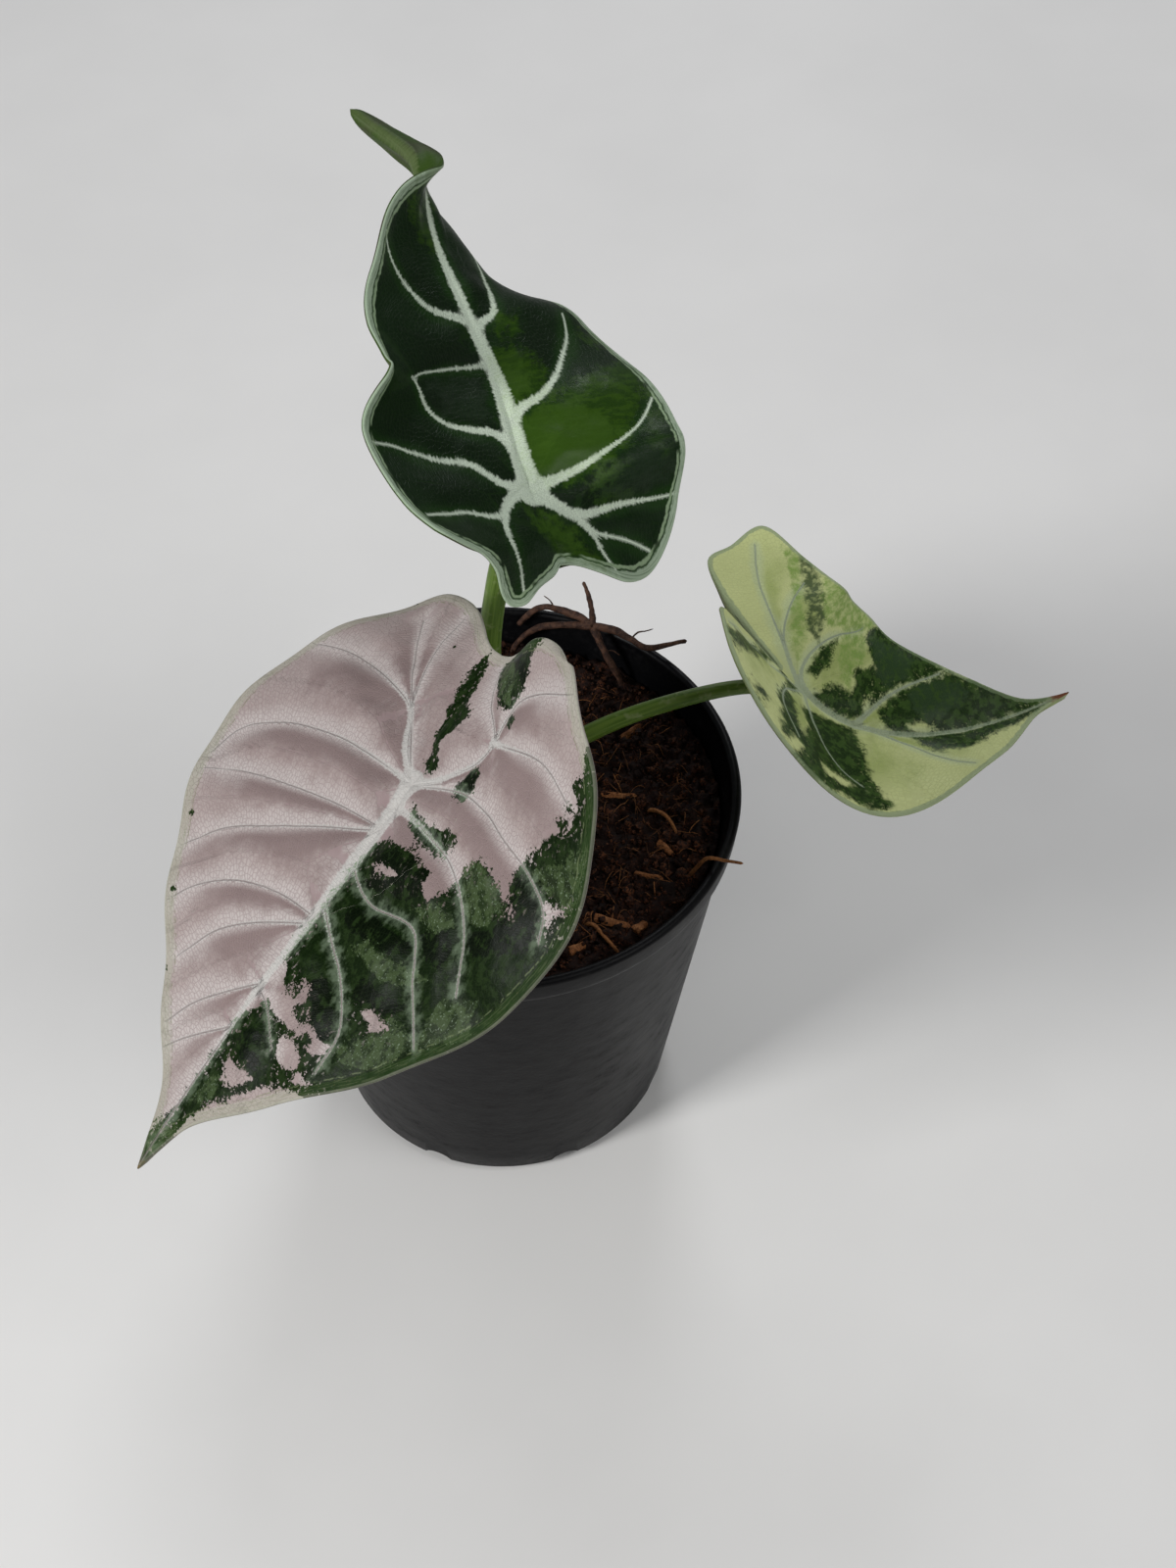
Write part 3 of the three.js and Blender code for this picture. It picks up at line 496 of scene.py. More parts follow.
frontBlade = dict(
    node="blade_front", seat=(-11, -51, 152), length=84, widths=(46, 44.5), lobes=(33, 32.5), sinus=27,
    shapes=[
        [[0, 1], [0.02, 0.95], [0.09, 0.86], [0.34, 0.68], [0.67, 0.46], [0.92, 0.22], [1, 0.02],
         [0.965, -0.35], [0.82, -0.7], [0.6, -0.95], [0.42, -1], [0.22, -0.92], [0.08, -0.84],
         [0, -0.8]]] * 2,
    spokes=400, rings=96, quilting=1.95, wave=0.6, waves=15, ripple=0.35,
    stations=[
        [-37, -130, -32, -28, 28, -26, -4, -5],
        [0, -132, -30, -8, 13, -18, -4, -2],
        [30, -137, -33, 0, 4, -8, 0, 0],
        [60, -140, -43, -3, 0, 0, 8, 0],
        [92, -132, -39, -10, 8, 5, 4, 0]],
    midrib=(1.75, -0.2),
    veins=[
        (0.5, 0.05, [[0, 0], [11, 0], [21, 1], [32.5, 5], [38.5, 11], [39, 18]]),
        (0.2, 0.04, [[0, 9], [11, 10.5], [20.5, 13], [30, 16.5], [37, 21]]),
        (0.4, 0.05, [[0, 9.5], [9.5, 15], [19, 21.5], [25.5, 27], [30.5, 35]]),
        (0.25, 0.05, [[0, 28], [8, 29], [16.5, 32.5], [22.5, 38.5], [25, 44]]),
        (0.4, 0.05, [[0, 29.5], [8, 35.5], [13.5, 41.5], [17, 50]]),
        (0.3, 0.04, [[0, 42.5], [5, 48.5], [9, 54.5], [11, 60]]),
        (0.2, 0.04, [[0, 52], [6.5, 60], [9.5, 65]]),
        (0.75, 0.05, [[0, 0], [6, -4.5], [11, -10.5], [18.5, -12.5], [31.5, -13], [42, -10.5]]),
        (0.25, 0.05, [[11, -10.5], [14, -17.5], [15.5, -22.5], [16, -29]]),
        (0.3, 0.05, [[0, 0], [11, -11], [19.5, -19], [25, -25]]),
        (0.4, 0.1, [[0, 0], [-14.5, -4], [-27, -1.5], [-33.5, 0.5], [-39.5, 4], [-41, 8]]),
        (0.62, 0.12, [[0, 5], [-4, 4.5], [-18.5, 7], [-27, 13.5], [-32, 22]]),
        (0.28, 0.05, [[0, 17], [-7.5, 20], [-18.5, 18.5], [-24.5, 25.5], [-31.5, 32.5]]),
        (0.48, 0.08, [[0, 25], [-4.5, 28], [-12, 32.5], [-18, 38.5], [-19.5, 46.5]]),
        (0.25, 0.05, [[0, 43.5], [-4, 45], [-9.5, 49.5]]),
        (0.7, 0.15, [[0, 0], [-7, -4.5], [-14, -13.5], [-8, -19], [-4, -25]]),
        (0.4, 0.1, [[-14, -13.5], [-17.5, -21.5], [-32.5, -27]]),
        (0.5, 0.1, [[-14, -13.5], [-29.5, -15], [-37, -12]])],
    patches=[
        [[-39.5, -23.5], [-39, -20], [-39, -16.5], [-37, -14.5], [-40, -12.5], [-39.5, -8.5], [-36.5, -7],
         [-33.5, -2.5], [-32, -0.5], [-31, 3.5], [-35, 7], [-31, 5.5], [-27, 3], [-24.5, 3], [-21.5, 6],
         [-20.5, 10.5], [-18.5, 13], [-16, 11.5], [-16, 9.5], [-11.5, 8.5], [-8, 9], [-4, 9.5], [-1.5, 11],
         [0, 17], [0, 36], [-3, 38], [-3.5, 39.5], [-6.5, 41], [-10.5, 42.5], [-11, 44], [-7.5, 44.5],
         [-3.5, 44], [-1, 47], [0, 50], [0, 84], [-1.5, 80], [-4, 70], [-5.5, 65], [-8.5, 61.5], [-10, 58],
         [-13, 54.5], [-18, 51.5], [-23, 50], [-30, 45], [-36, 36], [-42, 26], [-47, 14], [-49, 4],
         [-49, -8], [-46, -20]],
        [[2.5, -26.5], [1, -24], [-0.5, -20.5], [-2, -17], [-4, -16], [-4.5, -13.5], [-3.5, -11.5],
         [-2, -8.5], [-3, -6.5], [-4.5, -5], [-2.5, -3.5], [-1, -3], [0, -4.5], [-1, -7], [0.5, -9],
         [1, -12], [1.5, -14], [2.5, -17], [3, -19.5], [3.5, -23]],
        [[-5.5, -27], [-6.5, -30.5], [-12, -33], [-17.5, -33.5], [-17.5, -32], [-16.5, -29], [-17.5, -26],
         [-18.5, -24], [-16, -21], [-15, -19.5], [-12, -19], [-9, -21], [-5, -23.5], [-4, -25.5]],
        [[-10, -3.5], [-11, -5], [-11.5, -7.5], [-13.5, -9], [-15.5, -8.5], [-14.5, -7], [-15, -5],
         [-14.5, -3], [-12.5, -2.5]],
        [[-4, 2.5], [-4, 4.5], [-5.5, 6], [-9.5, 7], [-14, 7], [-16, 6.5], [-16.5, 4.5], [-18, 2.5],
         [-17, 2], [-15, 2], [-12.5, 3], [-10, 3.5], [-7, 3.5]],
        [[-16, -17], [-16, -19], [-18.5, -19.5], [-18.5, -17]],
        [[-1, 67], [0.9, 72], [1.7, 77], [1.2, 85], [-1, 85]], [[-37, -12], [-39, -12.8], [-38.5, -11]],
        [[-36.5, -9], [-38.5, -10.2], [-40.5, -9], [-38, -8]]],
    holes=[
        [[-5.5, 38], [-8, 40], [-9, 41.5], [-11.5, 42.5], [-13.5, 42], [-12.5, 44], [-8, 44.5], [-7, 42]],
        [[-10.5, 49.5], [-9.5, 46], [-12, 45.2], [-14, 45.5], [-16, 47], [-15.5, 49], [-13, 50.5]],
        [[-11, 40], [-14.5, 41.5], [-18, 42], [-18.8, 43.5], [-16, 44.8], [-15, 43], [-12, 41.5]],
        [[-7.8, 40], [-8, 38], [-9.7, 38], [-9.5, 40]], [[-7, 36.5], [-9.2, 36.8], [-8, 38.2]],
        [[-19.5, 34], [-21, 32.5], [-25.5, 33], [-23.5, 35], [-21.5, 34.6]],
        [[-16.5, 49.5], [-17, 48.3], [-20.2, 48.5], [-17, 50.6]],
        [[-3.5, 56], [-7.5, 55.5], [-10, 55.5], [-8.5, 58], [-6.5, 60], [-4.5, 59.5]],
        [[-15.5, 11.5], [-17.5, 10.5], [-20, 11], [-18, 13]],
        [[-4.5, 14.5], [-7, 13.3], [-11, 13], [-6, 15.5]],
        [[-39, 3], [-43.5, 1.2], [-41, 4], [-43, 6.2], [-41, 5.5], [-40, 4.5]]],
    darker=[
        [[-2.5, 12.5], [-8, 9.5], [-13, 9], [-15.5, 9.5], [-17.5, 13.5], [-13, 16], [-9.5, 16.5],
         [-5, 18.5], [-4, 17.5], [-5.5, 15.5]],
        [[-5.5, 24.5], [-5.5, 22], [-9, 21], [-17, 20.5], [-20, 20], [-20, 22], [-17.5, 24], [-8.5, 25.5]],
        [[-8, 36], [-10.5, 33.5], [-16, 38], [-17.5, 41], [-16, 42], [-12.5, 40.5]],
        [[-15, 32], [-16.5, 29.5], [-26, 28.5], [-23.5, 31.5], [-16.5, 33.5]],
        [[-20, 18.5], [-24.5, 14.5], [-27.5, 17.5], [-27, 20.5], [-23.5, 20.5]],
        [[-27.5, 13], [-31.5, 11], [-34.5, 7], [-40, 6.5], [-39, 10], [-34, 14], [-29.5, 15.5]],
        [[-31.5, 2], [-34, 0.5], [-38.5, 2.5], [-40.5, 5.5], [-39.5, 8.5], [-35, 7.5]],
        [[-34.5, -1], [-39.5, -1.5], [-44, -2.5], [-45, -1.5], [-42.5, 1.5], [-36.5, 1.5]],
        [[-2.5, 52.5], [-4, 48.5], [-7, 49], [-9.5, 52.5], [-8.5, 54.5]],
        [[-5.5, -28], [-7.5, -30], [-13, -28.5], [-17, -26.5], [-18.5, -24], [-15, -25], [-11, -26.5]],
        [[-10, -3.5], [-11.5, -7.5], [-15, -8], [-15, -5], [-12.5, -2.5]],
        [[-4, 4], [-9.5, 6.5], [-15.5, 6], [-14, 4], [-8, 4.2]]],
    lighter=[
        [[-21.5, 6], [-22.5, 4], [-25.5, 3], [-30, 4.5], [-32, 6.5], [-31.5, 10.5], [-27.5, 12],
         [-23, 10.5]],
        [[-16.5, 16], [-19.5, 13], [-23.5, 12.5], [-25, 14], [-22.5, 16.5]],
        [[-24.5, 31.5], [-31, 31.5], [-29.5, 36.5], [-27, 40], [-21.5, 42.5], [-20, 41], [-22.5, 37]],
        [[-10, 27], [-13, 24.5], [-18, 24.5], [-26.5, 22.5], [-24.5, 25.5], [-19, 28]],
        [[-1.5, 67], [-2, 63.5], [-3, 59.5], [-5.5, 60], [-6, 63], [-4.5, 66]],
        [[1.5, 73], [1.5, 80], [-2, 80], [-3, 72]],
        [[-5.5, -26], [-9, -27], [-14, -25], [-15, -20], [-9, -21.5]],
        [[-34, 0], [-40, -4], [-44, -8], [-46, -2], [-43, 2]],
        [[-30, 24], [-36, 20], [-38, 26], [-31, 33]]],
    specks=[
        (32.9, 29.2, 0.6), (25.4, 41.7, 0.55), (17.8, 53.5, 0.6), (11.7, -23.6, 0.45), (31.4, -26.7, 0.4),
        (15.5, 57, 0.4)],
    look=dict(roughness=0.36, roughRange=0.16, specular=0.06, bump=0.00016, paint={
        "Painted Shade": (0.25, 0.19, 0.18), "Ground": (0.39, 0.325, 0.308), "Beside Vein": (0.51, 0.46, 0.44),
        "Patch": (0.0035, 0.0105, 0.0012), "Patch Light": (0.012, 0.025, 0.0055),
        "Second": (0.0008, 0.003, 0.0004), "Third": (0.048, 0.074, 0.028),
        "Vein Colour": (0.55, 0.54, 0.51), "Vein On Patch": (0.25, 0.32, 0.22),
        "Fine Vein": (0.31, 0.23, 0.23), "Fine On Patch": (0.04, 0.062, 0.024),
        "Thread": (0.29, 0.23, 0.225), "Margin": (0.40, 0.39, 0.32),
        "Margin On Patch": (0.016, 0.046, 0.005), "Rim Line": (0.17, 0.21, 0.10),
        "Loop Vein": (0.5, 0.5, 0.4), "Under": (0.36, 0.30, 0.29), "Under Blush": (0.40, 0.37, 0.30),
        "Under Vein": (0.44, 0.45, 0.34), "Tip": (0.17, 0.13, 0.06), "Streak": (1.15, 0.8, 1.0),
        "Torn": 1.7, "Fleck": 3.0, "Soft": 0.12, "Feather": 0.7, "Milk": 0.35, "Net": 0.75,
        "Net On Patch": 0.12, "Cream Reach": 4.5, "Margin Width": 2.1, "Margin Cover": 0.65,
        "Line Cover": 0.5, "Line Place": 2.2, "Loop Place": 30.0, "Loop Width": 0.01, "Tip Reach": 2.6,
        "Rust Reach": 150.0, "Islands": 0.9}))

backBlade = dict(
    node="blade_back", seat=(8.5, 5, 167.5), length=88, widths=(32, 31.3), lobes=(21, 19), sinus=15,
    shapes=[
        tipPart + [[0.93, -0.25], [0.72, -0.5], [0.5, -0.72], [0.37, -0.98], [0.28, -1], [0.16, -0.88],
                   [0.06, -0.8], [0, -0.8]],
        tipPart + [[0.965, -0.35], [0.84, -0.7], [0.64, -0.95], [0.45, -1], [0.24, -0.92], [0.08, -0.82],
                   [0, -0.8]]],
    spokes=360, rings=90, quilting=0.85, wave=0.5, waves=11, ripple=0.3,
    stations=[
        [-24, 107, 9, -20, -35, 0, -16, -5],
        [-10, 118, 28, -20, 14, 18, 6, 5],
        [0, 112, 32, -12, 14, 20, 10, 0],
        [10, 105, 20, -7, 9, 35, 3, -10],
        [21, 111, 22, 0, 13, 75, -7, -20],
        [30, 118, 31, -1, 16, 47, -13, -24],
        [44, 115, 20, -16, 4, 35, -13, -39],
        [58, 101, 16, -40, 13, 37, -6, -45],
        [66, 100, 16, -93, 35, 35, 13, 10],
        [74, 138, 8, -136, 50, 35, 50, 30],
        [88, 146, 20, -160, 50, 35, 50, 30]],
    midrib=(2.2, 0.1),
    veins=[
        (1.15, 0.08, [[0, 0], [5, 0.5], [10, 1.5], [15, 3.5], [20, 6.5], [24.5, 10.5], [28, 14.5]]),
        (0.95, 0.1, [[0, 13], [2.5, 15.5], [7, 17.5], [11, 20.5], [14.5, 24], [19, 28], [21, 32]]),
        (0.8, 0.08, [[0, 32], [2, 33.5], [5.5, 35], [7, 38.5], [9.5, 47.5], [11, 54]]),
        (1.35, 0.15, [[0, 0], [4, -4.5], [7, -7], [16.5, -7.5], [26, -8.5], [29.3, -8.6]]),
        (0.5, 0.1, [[7, -7], [9, -10.5], [15.5, -13.5], [20, -15.5]]),
        (0.65, 0.12, [[7, -7], [9, -11], [10, -15], [12, -18.5]]),
        (0.95, 0.28, [[0, 7], [-3.5, 11], [-8, 12], [-12.5, 13.5], [-16, 17.5], [-17, 21.5], [-18, 24.5]]),
        (0.5, 0.16, [[0, 25.5], [-3, 25.5], [-9, 26], [-16, 25.5], [-18, 24]]),
        (0.85, 0.08, [[0, 34], [-3.5, 36], [-7.5, 38.5], [-10, 42.5], [-12.5, 47], [-13.5, 53]]),
        (0.9, 0.12, [[0, 0], [-5.5, 1.5], [-10.5, 5], [-17.5, 6.5], [-25, 8], [-30.5, 8]]),
        (1.35, 0.15, [[0, 1], [-5.5, -1.5], [-8.5, -4], [-10, -7], [-10.5, -11], [-9.5, -15], [-9, -18.5]]),
        (0.5, 0.1, [[-8.5, -4], [-11.5, -4], [-18.5, -2.5], [-28, -2.5]])],
    patches=[
        [[6.5, 35], [9.5, 33.5], [8, 30], [3.5, 30], [4, 32.5]],
        [[0, 28], [5, 27.5], [8.5, 24.5], [10, 21.5], [8.5, 18], [4, 15], [0, 14.5]],
        [[0, 12.5], [5, 16], [12.5, 18.5], [19, 20.5], [27, 22], [29, 19], [26, 15], [23, 11], [21.5, 6],
         [16, 1], [8, -0.5], [0, 1]],
        [[11.5, -1], [16.5, 1], [19, 0], [17.5, -1.5], [14, -3], [11, -3]],
        [[11.5, -5.5], [14.5, -4], [18.5, -5.5], [20.5, -6.5], [13.5, -7]],
        [[-3, -1], [-1.5, -4], [3, -7], [6, -10.5], [7, -14], [10, -17.5], [7, -16.5], [1, -15], [-2.5, -9],
         [-3.5, -5.5]],
        [[25.5, 12.5], [28.5, 11.5], [27, 0], [24.5, 2]],
        [[-7.5, 58], [-2.5, 57.5], [-1, 53.5], [-1, 49.5], [-3.5, 51], [-5, 55]],
        [[27.5, 28], [26.5, 26], [23.5, 25.5], [22, 27]], [[-8, 60], [8, 60], [8, 90], [-8, 90]]],
    holes=[],
    darker=[
        [[0, 12], [6, 15], [12, 15.5], [17.5, 12], [20, 7.5], [15, 1.5], [8, 0.5], [0, 1]],
        [[13, -0.5], [16.5, 0.5], [18, -0.5], [16, -2], [13, -2.5]],
        [[-0.5, -3], [3, -7], [6, -10.5], [4.5, -12.5], [1.5, -10], [-1, -7]],
        [[0, 24], [5, 24], [6.5, 21], [5, 18], [0, 17]]],
    lighter=[
        [[18, -8], [28, -4], [30, 6], [27, 12], [24, 4], [17, 0], [12, -4]],
        [[-4, 14], [-12, 16], [-15, 22], [-8, 24], [-3, 22]],
        [[-6, -12], [-2, -10], [2, -16], [-6, -20], [-10, -18]]],
    specks=[],
    look=dict(roughness=0.3, roughRange=0.2, specular=0.13, bump=0.0001, paint={
        "Painted Shade": (0.0012, 0.009, 0.0004), "Ground": (0.0020, 0.014, 0.0006),
        "Beside Vein": (0.006, 0.030, 0.001), "Patch": (0.012, 0.038, 0.0012),
        "Patch Light": (0.023, 0.060, 0.002), "Second": (0.036, 0.084, 0.007),
        "Third": (0.013, 0.026, 0.012), "Vein Colour": (0.70, 0.80, 0.64),
        "Vein On Patch": (0.60, 0.72, 0.50), "Fine Vein": (0.015, 0.042, 0.005),
        "Fine On Patch": (0.06, 0.125, 0.015), "Thread": (0.66, 0.76, 0.60), "Margin": (0.38, 0.48, 0.34),
        "Margin On Patch": (0.36, 0.47, 0.29), "Rim Line": (0.040, 0.085, 0.028),
        "Loop Vein": (0.25, 0.34, 0.20), "Under": (0.034, 0.068, 0.009),
        "Under Blush": (0.055, 0.052, 0.03), "Under Vein": (0.10, 0.14, 0.05), "Tip": (0.10, 0.12, 0.03),
        "Streak": (0.45, 1.5, 1.0), "Torn": 5.5, "Fleck": 1.6, "Soft": 1.5, "Feather": 1.0, "Net": 0.3,
        "Net On Patch": 0.16, "Cream Reach": 2.5, "Margin Width": 1.4, "Line Cover": 0.8, "Line Place": 1.3,
        "Loop Place": 1.75, "Loop Width": 0.36, "Tip Reach": 1.5}))

rightBlade = dict(
    node="blade_right", seat=(61.3, 8, 109.5), length=60, widths=(28.5, 28.5), lobes=(34.5, 20.5),
    sinus=6.5,
    shapes=[
        heartPart + [[0.965, -0.35], [0.86, -0.7], [0.72, -1.02], [0.4, -1], [0.16, -0.98], [0.06, -0.76],
                     [0, -0.3]],
        heartPart + [[0.965, -0.35], [0.82, -0.7], [0.6, -0.95], [0.38, -1], [0.18, -0.9], [0.07, -0.6],
                     [0, -0.3]]],
    spokes=320, rings=84, quilting=0.75, wave=0.4, waves=9, ripple=0.25,
    stations=[
        [-38, -53, -18, 32, 20, 16, 52, 5],
        [-16, -48, -18, 18, 9, 0, 40, -12],
        [0, -28, -36, 8, 10, -15, 25, -5],
        [20, 1, -12, -3, 17, -16, 13, -5],
        [40, 17, 2, -2, 27, -10, 23, -3],
        [60, 27, 11, -3, 34, -5, 24, -3]],
    midrib=(0.95, 0.3),
    veins=[
        (0.5, 0.2, [[0, 0], [-4.5, -3], [-11, -3], [-17, 0], [-23, 8]]),
        (0.6, 0.2, [[0, 13], [-3.5, 15.5], [-8, 20], [-11, 26.5], [-12.5, 34]]),
        (0.35, 0.15, [[0, 0], [-5.5, -11], [-9.5, -20.5], [-13, -27], [-16.5, -32]]),
        (0.35, 0.15, [[0, 0], [-5.5, -10], [-13, -16], [-20, -19]]),
        (0.5, 0.15, [[0, 0], [4.5, 2], [12.5, 5.5], [16.5, 9.5], [18.5, 14]]),
        (0.4, 0.15, [[0, 0], [3, -7], [7, -12], [12, -15], [18, -16]]),
        (0.35, 0.12, [[0, 0], [9, -4], [16.5, -3], [21, 0.5]]),
        (0.35, 0.12, [[0, 17], [3.5, 24.5], [8, 29], [12, 34]])],
    patches=[
        [[-4, -1.5], [-8, -2], [-12.5, -2], [-16.5, 0.5], [-12, 1], [-9, 2], [-4.5, 0.5]],
        [[-0.5, 2], [-4, 3.5], [-6.5, 6], [-6.5, 10], [-8.5, 10.5], [-11, 9], [-12.5, 9.5], [-13, 13.5],
         [-14.5, 16], [-12.5, 17.5], [-8.5, 16], [-5.5, 14], [-3, 15], [-1, 12], [-0.5, 8]],
        [[-22.5, 10.5], [-25, 16.5], [-22, 25], [-18, 32], [-13, 35.5], [-12, 31.5], [-11, 26.5],
         [-9.5, 21], [-6.5, 17.5], [-5, 16], [-9.5, 14.5], [-13.5, 16.5], [-17.5, 12.5]],
        [[-4.5, 17.5], [-7.5, 20], [-10, 23.5], [-11.5, 29], [-12.5, 35.5], [-10.5, 40.5], [-8, 45],
         [-3.5, 52], [0, 57], [0, 20]],
        [[6, 1], [4.5, 4.5], [2.5, 8], [1, 12.5], [5, 13.5], [8.5, 14.5], [13, 15], [16.5, 16], [20, 18],
         [21.5, 19], [24, 16], [25, 11], [27, 8], [29.5, 4.5], [30, -0.5], [27, -2.5], [20, -3.5], [16, -5],
         [8, -4.5], [9.5, -2.5], [11, -0.5]],
        [[0, 24], [0.5, 36.5], [0, 55], [2.5, 49.5], [3.5, 44.5], [4.5, 40], [6.5, 35], [6.5, 31],
         [5.5, 28.5], [3, 26.5]],
        [[1, -8], [6.5, -20.5], [8, -23], [6, -19], [3, -13], [2.5, -9]],
        [[23, -15], [14, -14.5], [8, -13], [2, -11], [2, -8.5], [8, -9.5], [17, -11], [23, -12.5]],
        [[26, -8.5], [23, -7.5], [22, -5.5], [26, -6.5]],
        [[0.5, -7], [1, -1.5], [4, -1.5], [7.5, -3.5], [2.5, -5]]],
    holes=[
        [[7, -4], [9.5, -2], [16.5, -0.5], [19, 1], [14.5, 2], [10.5, 0.5], [6.5, -1.5]],
        [[27, -2], [22.5, 0], [23, 1.5], [28, 0.5], [29.5, -1]],
        [[21.5, 6], [20, 9], [19.5, 12.5], [22, 10.5], [23, 7.5]],
        [[-2, 24.5], [-2.5, 27.5], [-0.6, 31], [-0.5, 26]]],
    # dark blue-green patches, partly the leaf's own dark green and partly painted light: the first strip is
    # painted shade of a fold, and the blue-green of the second tone is a painted soft sheen
    darker=[
        [[-25.5, -26.5], [-25, -22.5], [-24, -18.5], [-22, -14.5], [-17.5, -7.5], [-12, -3.5], [-11, -5.5],
         [-12, -9], [-17.5, -16], [-20.5, -20.5], [-22.5, -24]],
        [[-8.5, 25], [-11, 29], [-11.5, 34.5], [-9, 39.5], [-6, 38], [-4, 33], [-3, 28.5], [-5.5, 26]],
        [[-21.5, 14], [-19.5, 23.5], [-16, 28.5], [-12.5, 25.5], [-10.5, 20], [-12, 17], [-16.5, 15]]],
    # the first outline covers the lobe: its yellow-green tone, darker than the ground, is partly the leaf's
    # own colour and partly painted shade on the lobe
    lighter=[
        [[-25, -17.5], [-30, -13.5], [-31, 8], [-26, 19], [-22, 8.5], [-18.5, -1], [-16, -5],
         [-20.5, -12.5]],
        [[-21.5, -28.5], [-24.5, -26.5], [-18.5, -18.5], [-10, -7.5], [-3.5, -4], [-7.5, -10],
         [-17, -19.5]],
        [[-18.5, 1], [-22, 8.5], [-17.5, 11.5], [-13.5, 11.5], [-12, 8.5], [-7, 9.5], [-8, 6.5], [-12, 3]]],
    specks=[],
    look=dict(roughness=0.34, roughRange=0.16, specular=0.13, bump=0.00012, paint={
        "Painted Shade": (0.36, 0.43, 0.14), "Ground": (0.60, 0.65, 0.29), "Beside Vein": (0.55, 0.62, 0.33),
        "Patch": (0.009, 0.027, 0.002), "Patch Light": (0.036, 0.076, 0.012),
        "Second": (0.028, 0.058, 0.020), "Third": (0.21, 0.34, 0.065), "Vein Colour": (0.36, 0.42, 0.29),
        "Vein On Patch": (0.20, 0.27, 0.16), "Fine Vein": (0.36, 0.39, 0.17),
        "Fine On Patch": (0.08, 0.13, 0.04), "Thread": (0.38, 0.44, 0.32), "Margin": (0.35, 0.42, 0.24),
        "Margin On Patch": (0.20, 0.28, 0.14), "Rim Line": (0.25, 0.31, 0.15),
        "Loop Vein": (0.4, 0.45, 0.3), "Under": (0.30, 0.36, 0.15), "Under Blush": (0.26, 0.29, 0.16),
        "Under Vein": (0.36, 0.41, 0.24), "Tip": (0.19, 0.065, 0.032), "Streak": (1.0, 1.0, 1.0),
        "Torn": 2.4, "Fleck": 1.8, "Soft": 0.8, "Feather": 0.5, "Net": 0.3, "Net On Patch": 0.15,
        "Cream Reach": 2.0, "Margin Width": 0.95, "Line Place": 30.0, "Loop Place": 30.0,
        "Loop Width": 0.01, "Tip Reach": 5.5, "Rust Reach": 45.0, "Islands": 0.3}))

# relief of the blades. Thickness, ribs below and the reach of the quilting are those of the solids.
# The fade of the quilting, the creases and the groove above are only here, as is the trim, which
# keeps the rounded rim inside the solids' box. Blends are how softly near veins run together
relief = dict(middle=0.85, edge=0.7, midrib=1.5, midribFade=0.75, midribWidth=1.7, vein=0.6, veinWidth=1.3,
              rimRib=0.2, quiltReach=4.5, quiltFade=2.4, quiltLean=0.3, crease=0.28, creaseReach=1.1,
              groove=0.22, grooveWidth=0.8, trim=0.9946, rimDraw=0.25, rimBow=(0.28, 0.72), flare=0.5,
              flareReach=1.6, holdReach=1.6, edgeBlend=0.3, gapBlend=1.1, outside=-20)


# a value between stations: a cubic whose slopes are weighted harmonic means of the steps beside
# them, so it never overshoots
def betweenStations(places, values, along):
    step = np.diff(places)
    rise = np.diff(values) / step
    before, after, w1, w2 = rise[:-1], rise[1:], 2 * step[1:] + step[:-1], step[1:] + 2 * step[:-1]
    safe = before * after > 0
    mean = (w1 + w2) / (w1 / np.where(safe, before, 1) + w2 / np.where(safe, after, 1))
    slope = np.concatenate([rise[:1], np.where(safe, mean, 0), rise[-1:]])
    along = np.clip(along, places[0], places[-1])
    k = np.clip(np.searchsorted(places, along, side="left") - 1, 0, len(step) - 1)
    h = step[k]
    t = (along - places[k]) / h
    return ((2 * t**3 - 3 * t**2 + 1) * values[k] + (t**3 - 2 * t**2 + t) * h * slope[k]
            + (3 * t**2 - 2 * t**3) * values[k + 1] + (t**3 - t**2) * h * slope[k + 1])


# control points of one half outline in flat millimetres; half is 0 for left and 1 for right
def halfOutline(blade, half):
    share = np.array(blade["shapes"][half], float)
    along = np.where(share[:, 1] > 0, share[:, 1] * blade["length"], share[:, 1] * blade["lobes"][half])
    points = np.stack([share[:, 0] * blade["widths"][half], along], -1)
    points[-1] = (0, -blade["sinus"])
    return points


# the bent blade, flat place to place in space: the midrib follows the stations' heading and
# pitch at its true length; across it the skin leaves at the rise and turns by the curl times
# the square of its reach. Half is 1 to the right of the midrib and -1 to the left
def bendBlade(blade, across, along, half):
    stations = np.array(blade["stations"], float)
    places = stations[:, 0]
    angle = lambda column, y: np.radians(betweenStations(places, stations[:, column], y))
    ahead = lambda h, p: np.stack([np.cos(p) * np.cos(h), np.cos(p) * np.sin(h), np.sin(p)], -1)
    fine = np.linspace(places[0], places[-1], 241)
    way = ahead(angle(1, fine), angle(2, fine))
    spine = np.vstack([[0, 0, 0], np.cumsum((way[1:] + way[:-1]) / 2 * (fine[1] - fine[0]), axis=0)])
    onSpine = lambda y: np.stack([np.interp(y, fine, spine[:, k]) for k in range(3)], -1)
    heading, pitch, roll = angle(1, along), angle(2, along), angle(3, along)
    level = np.stack([np.sin(heading), -np.cos(heading), 0 * heading], -1)
    lift = np.cross(level, ahead(heading, pitch))
    sine, cosine = np.sin(roll)[:, None], np.cos(roll)[:, None]
    outward, upward = level * cosine + lift * sine, lift * cosine - level * sine
    right = half > 0
    rise = np.where(right, angle(6, along), angle(4, along))
    curl = np.where(right, angle(7, along), angle(5, along))
    width = np.where(right, widthAt(blade, 1, along), widthAt(blade, 0, along))
    reach = np.abs(across)[:, None] * (np.arange(16) + 0.5) / 16
    turn = rise[:, None] + curl[:, None] * (reach / width[:, None]) ** 2
    out = np.cos(turn).mean(1) * np.abs(across) * half
    up = np.sin(turn).mean(1) * np.abs(across)
    start = np.array(blade["seat"], float) - onSpine(np.zeros(1))
    return start + onSpine(along) + outward * out[:, None] + upward * up[:, None]


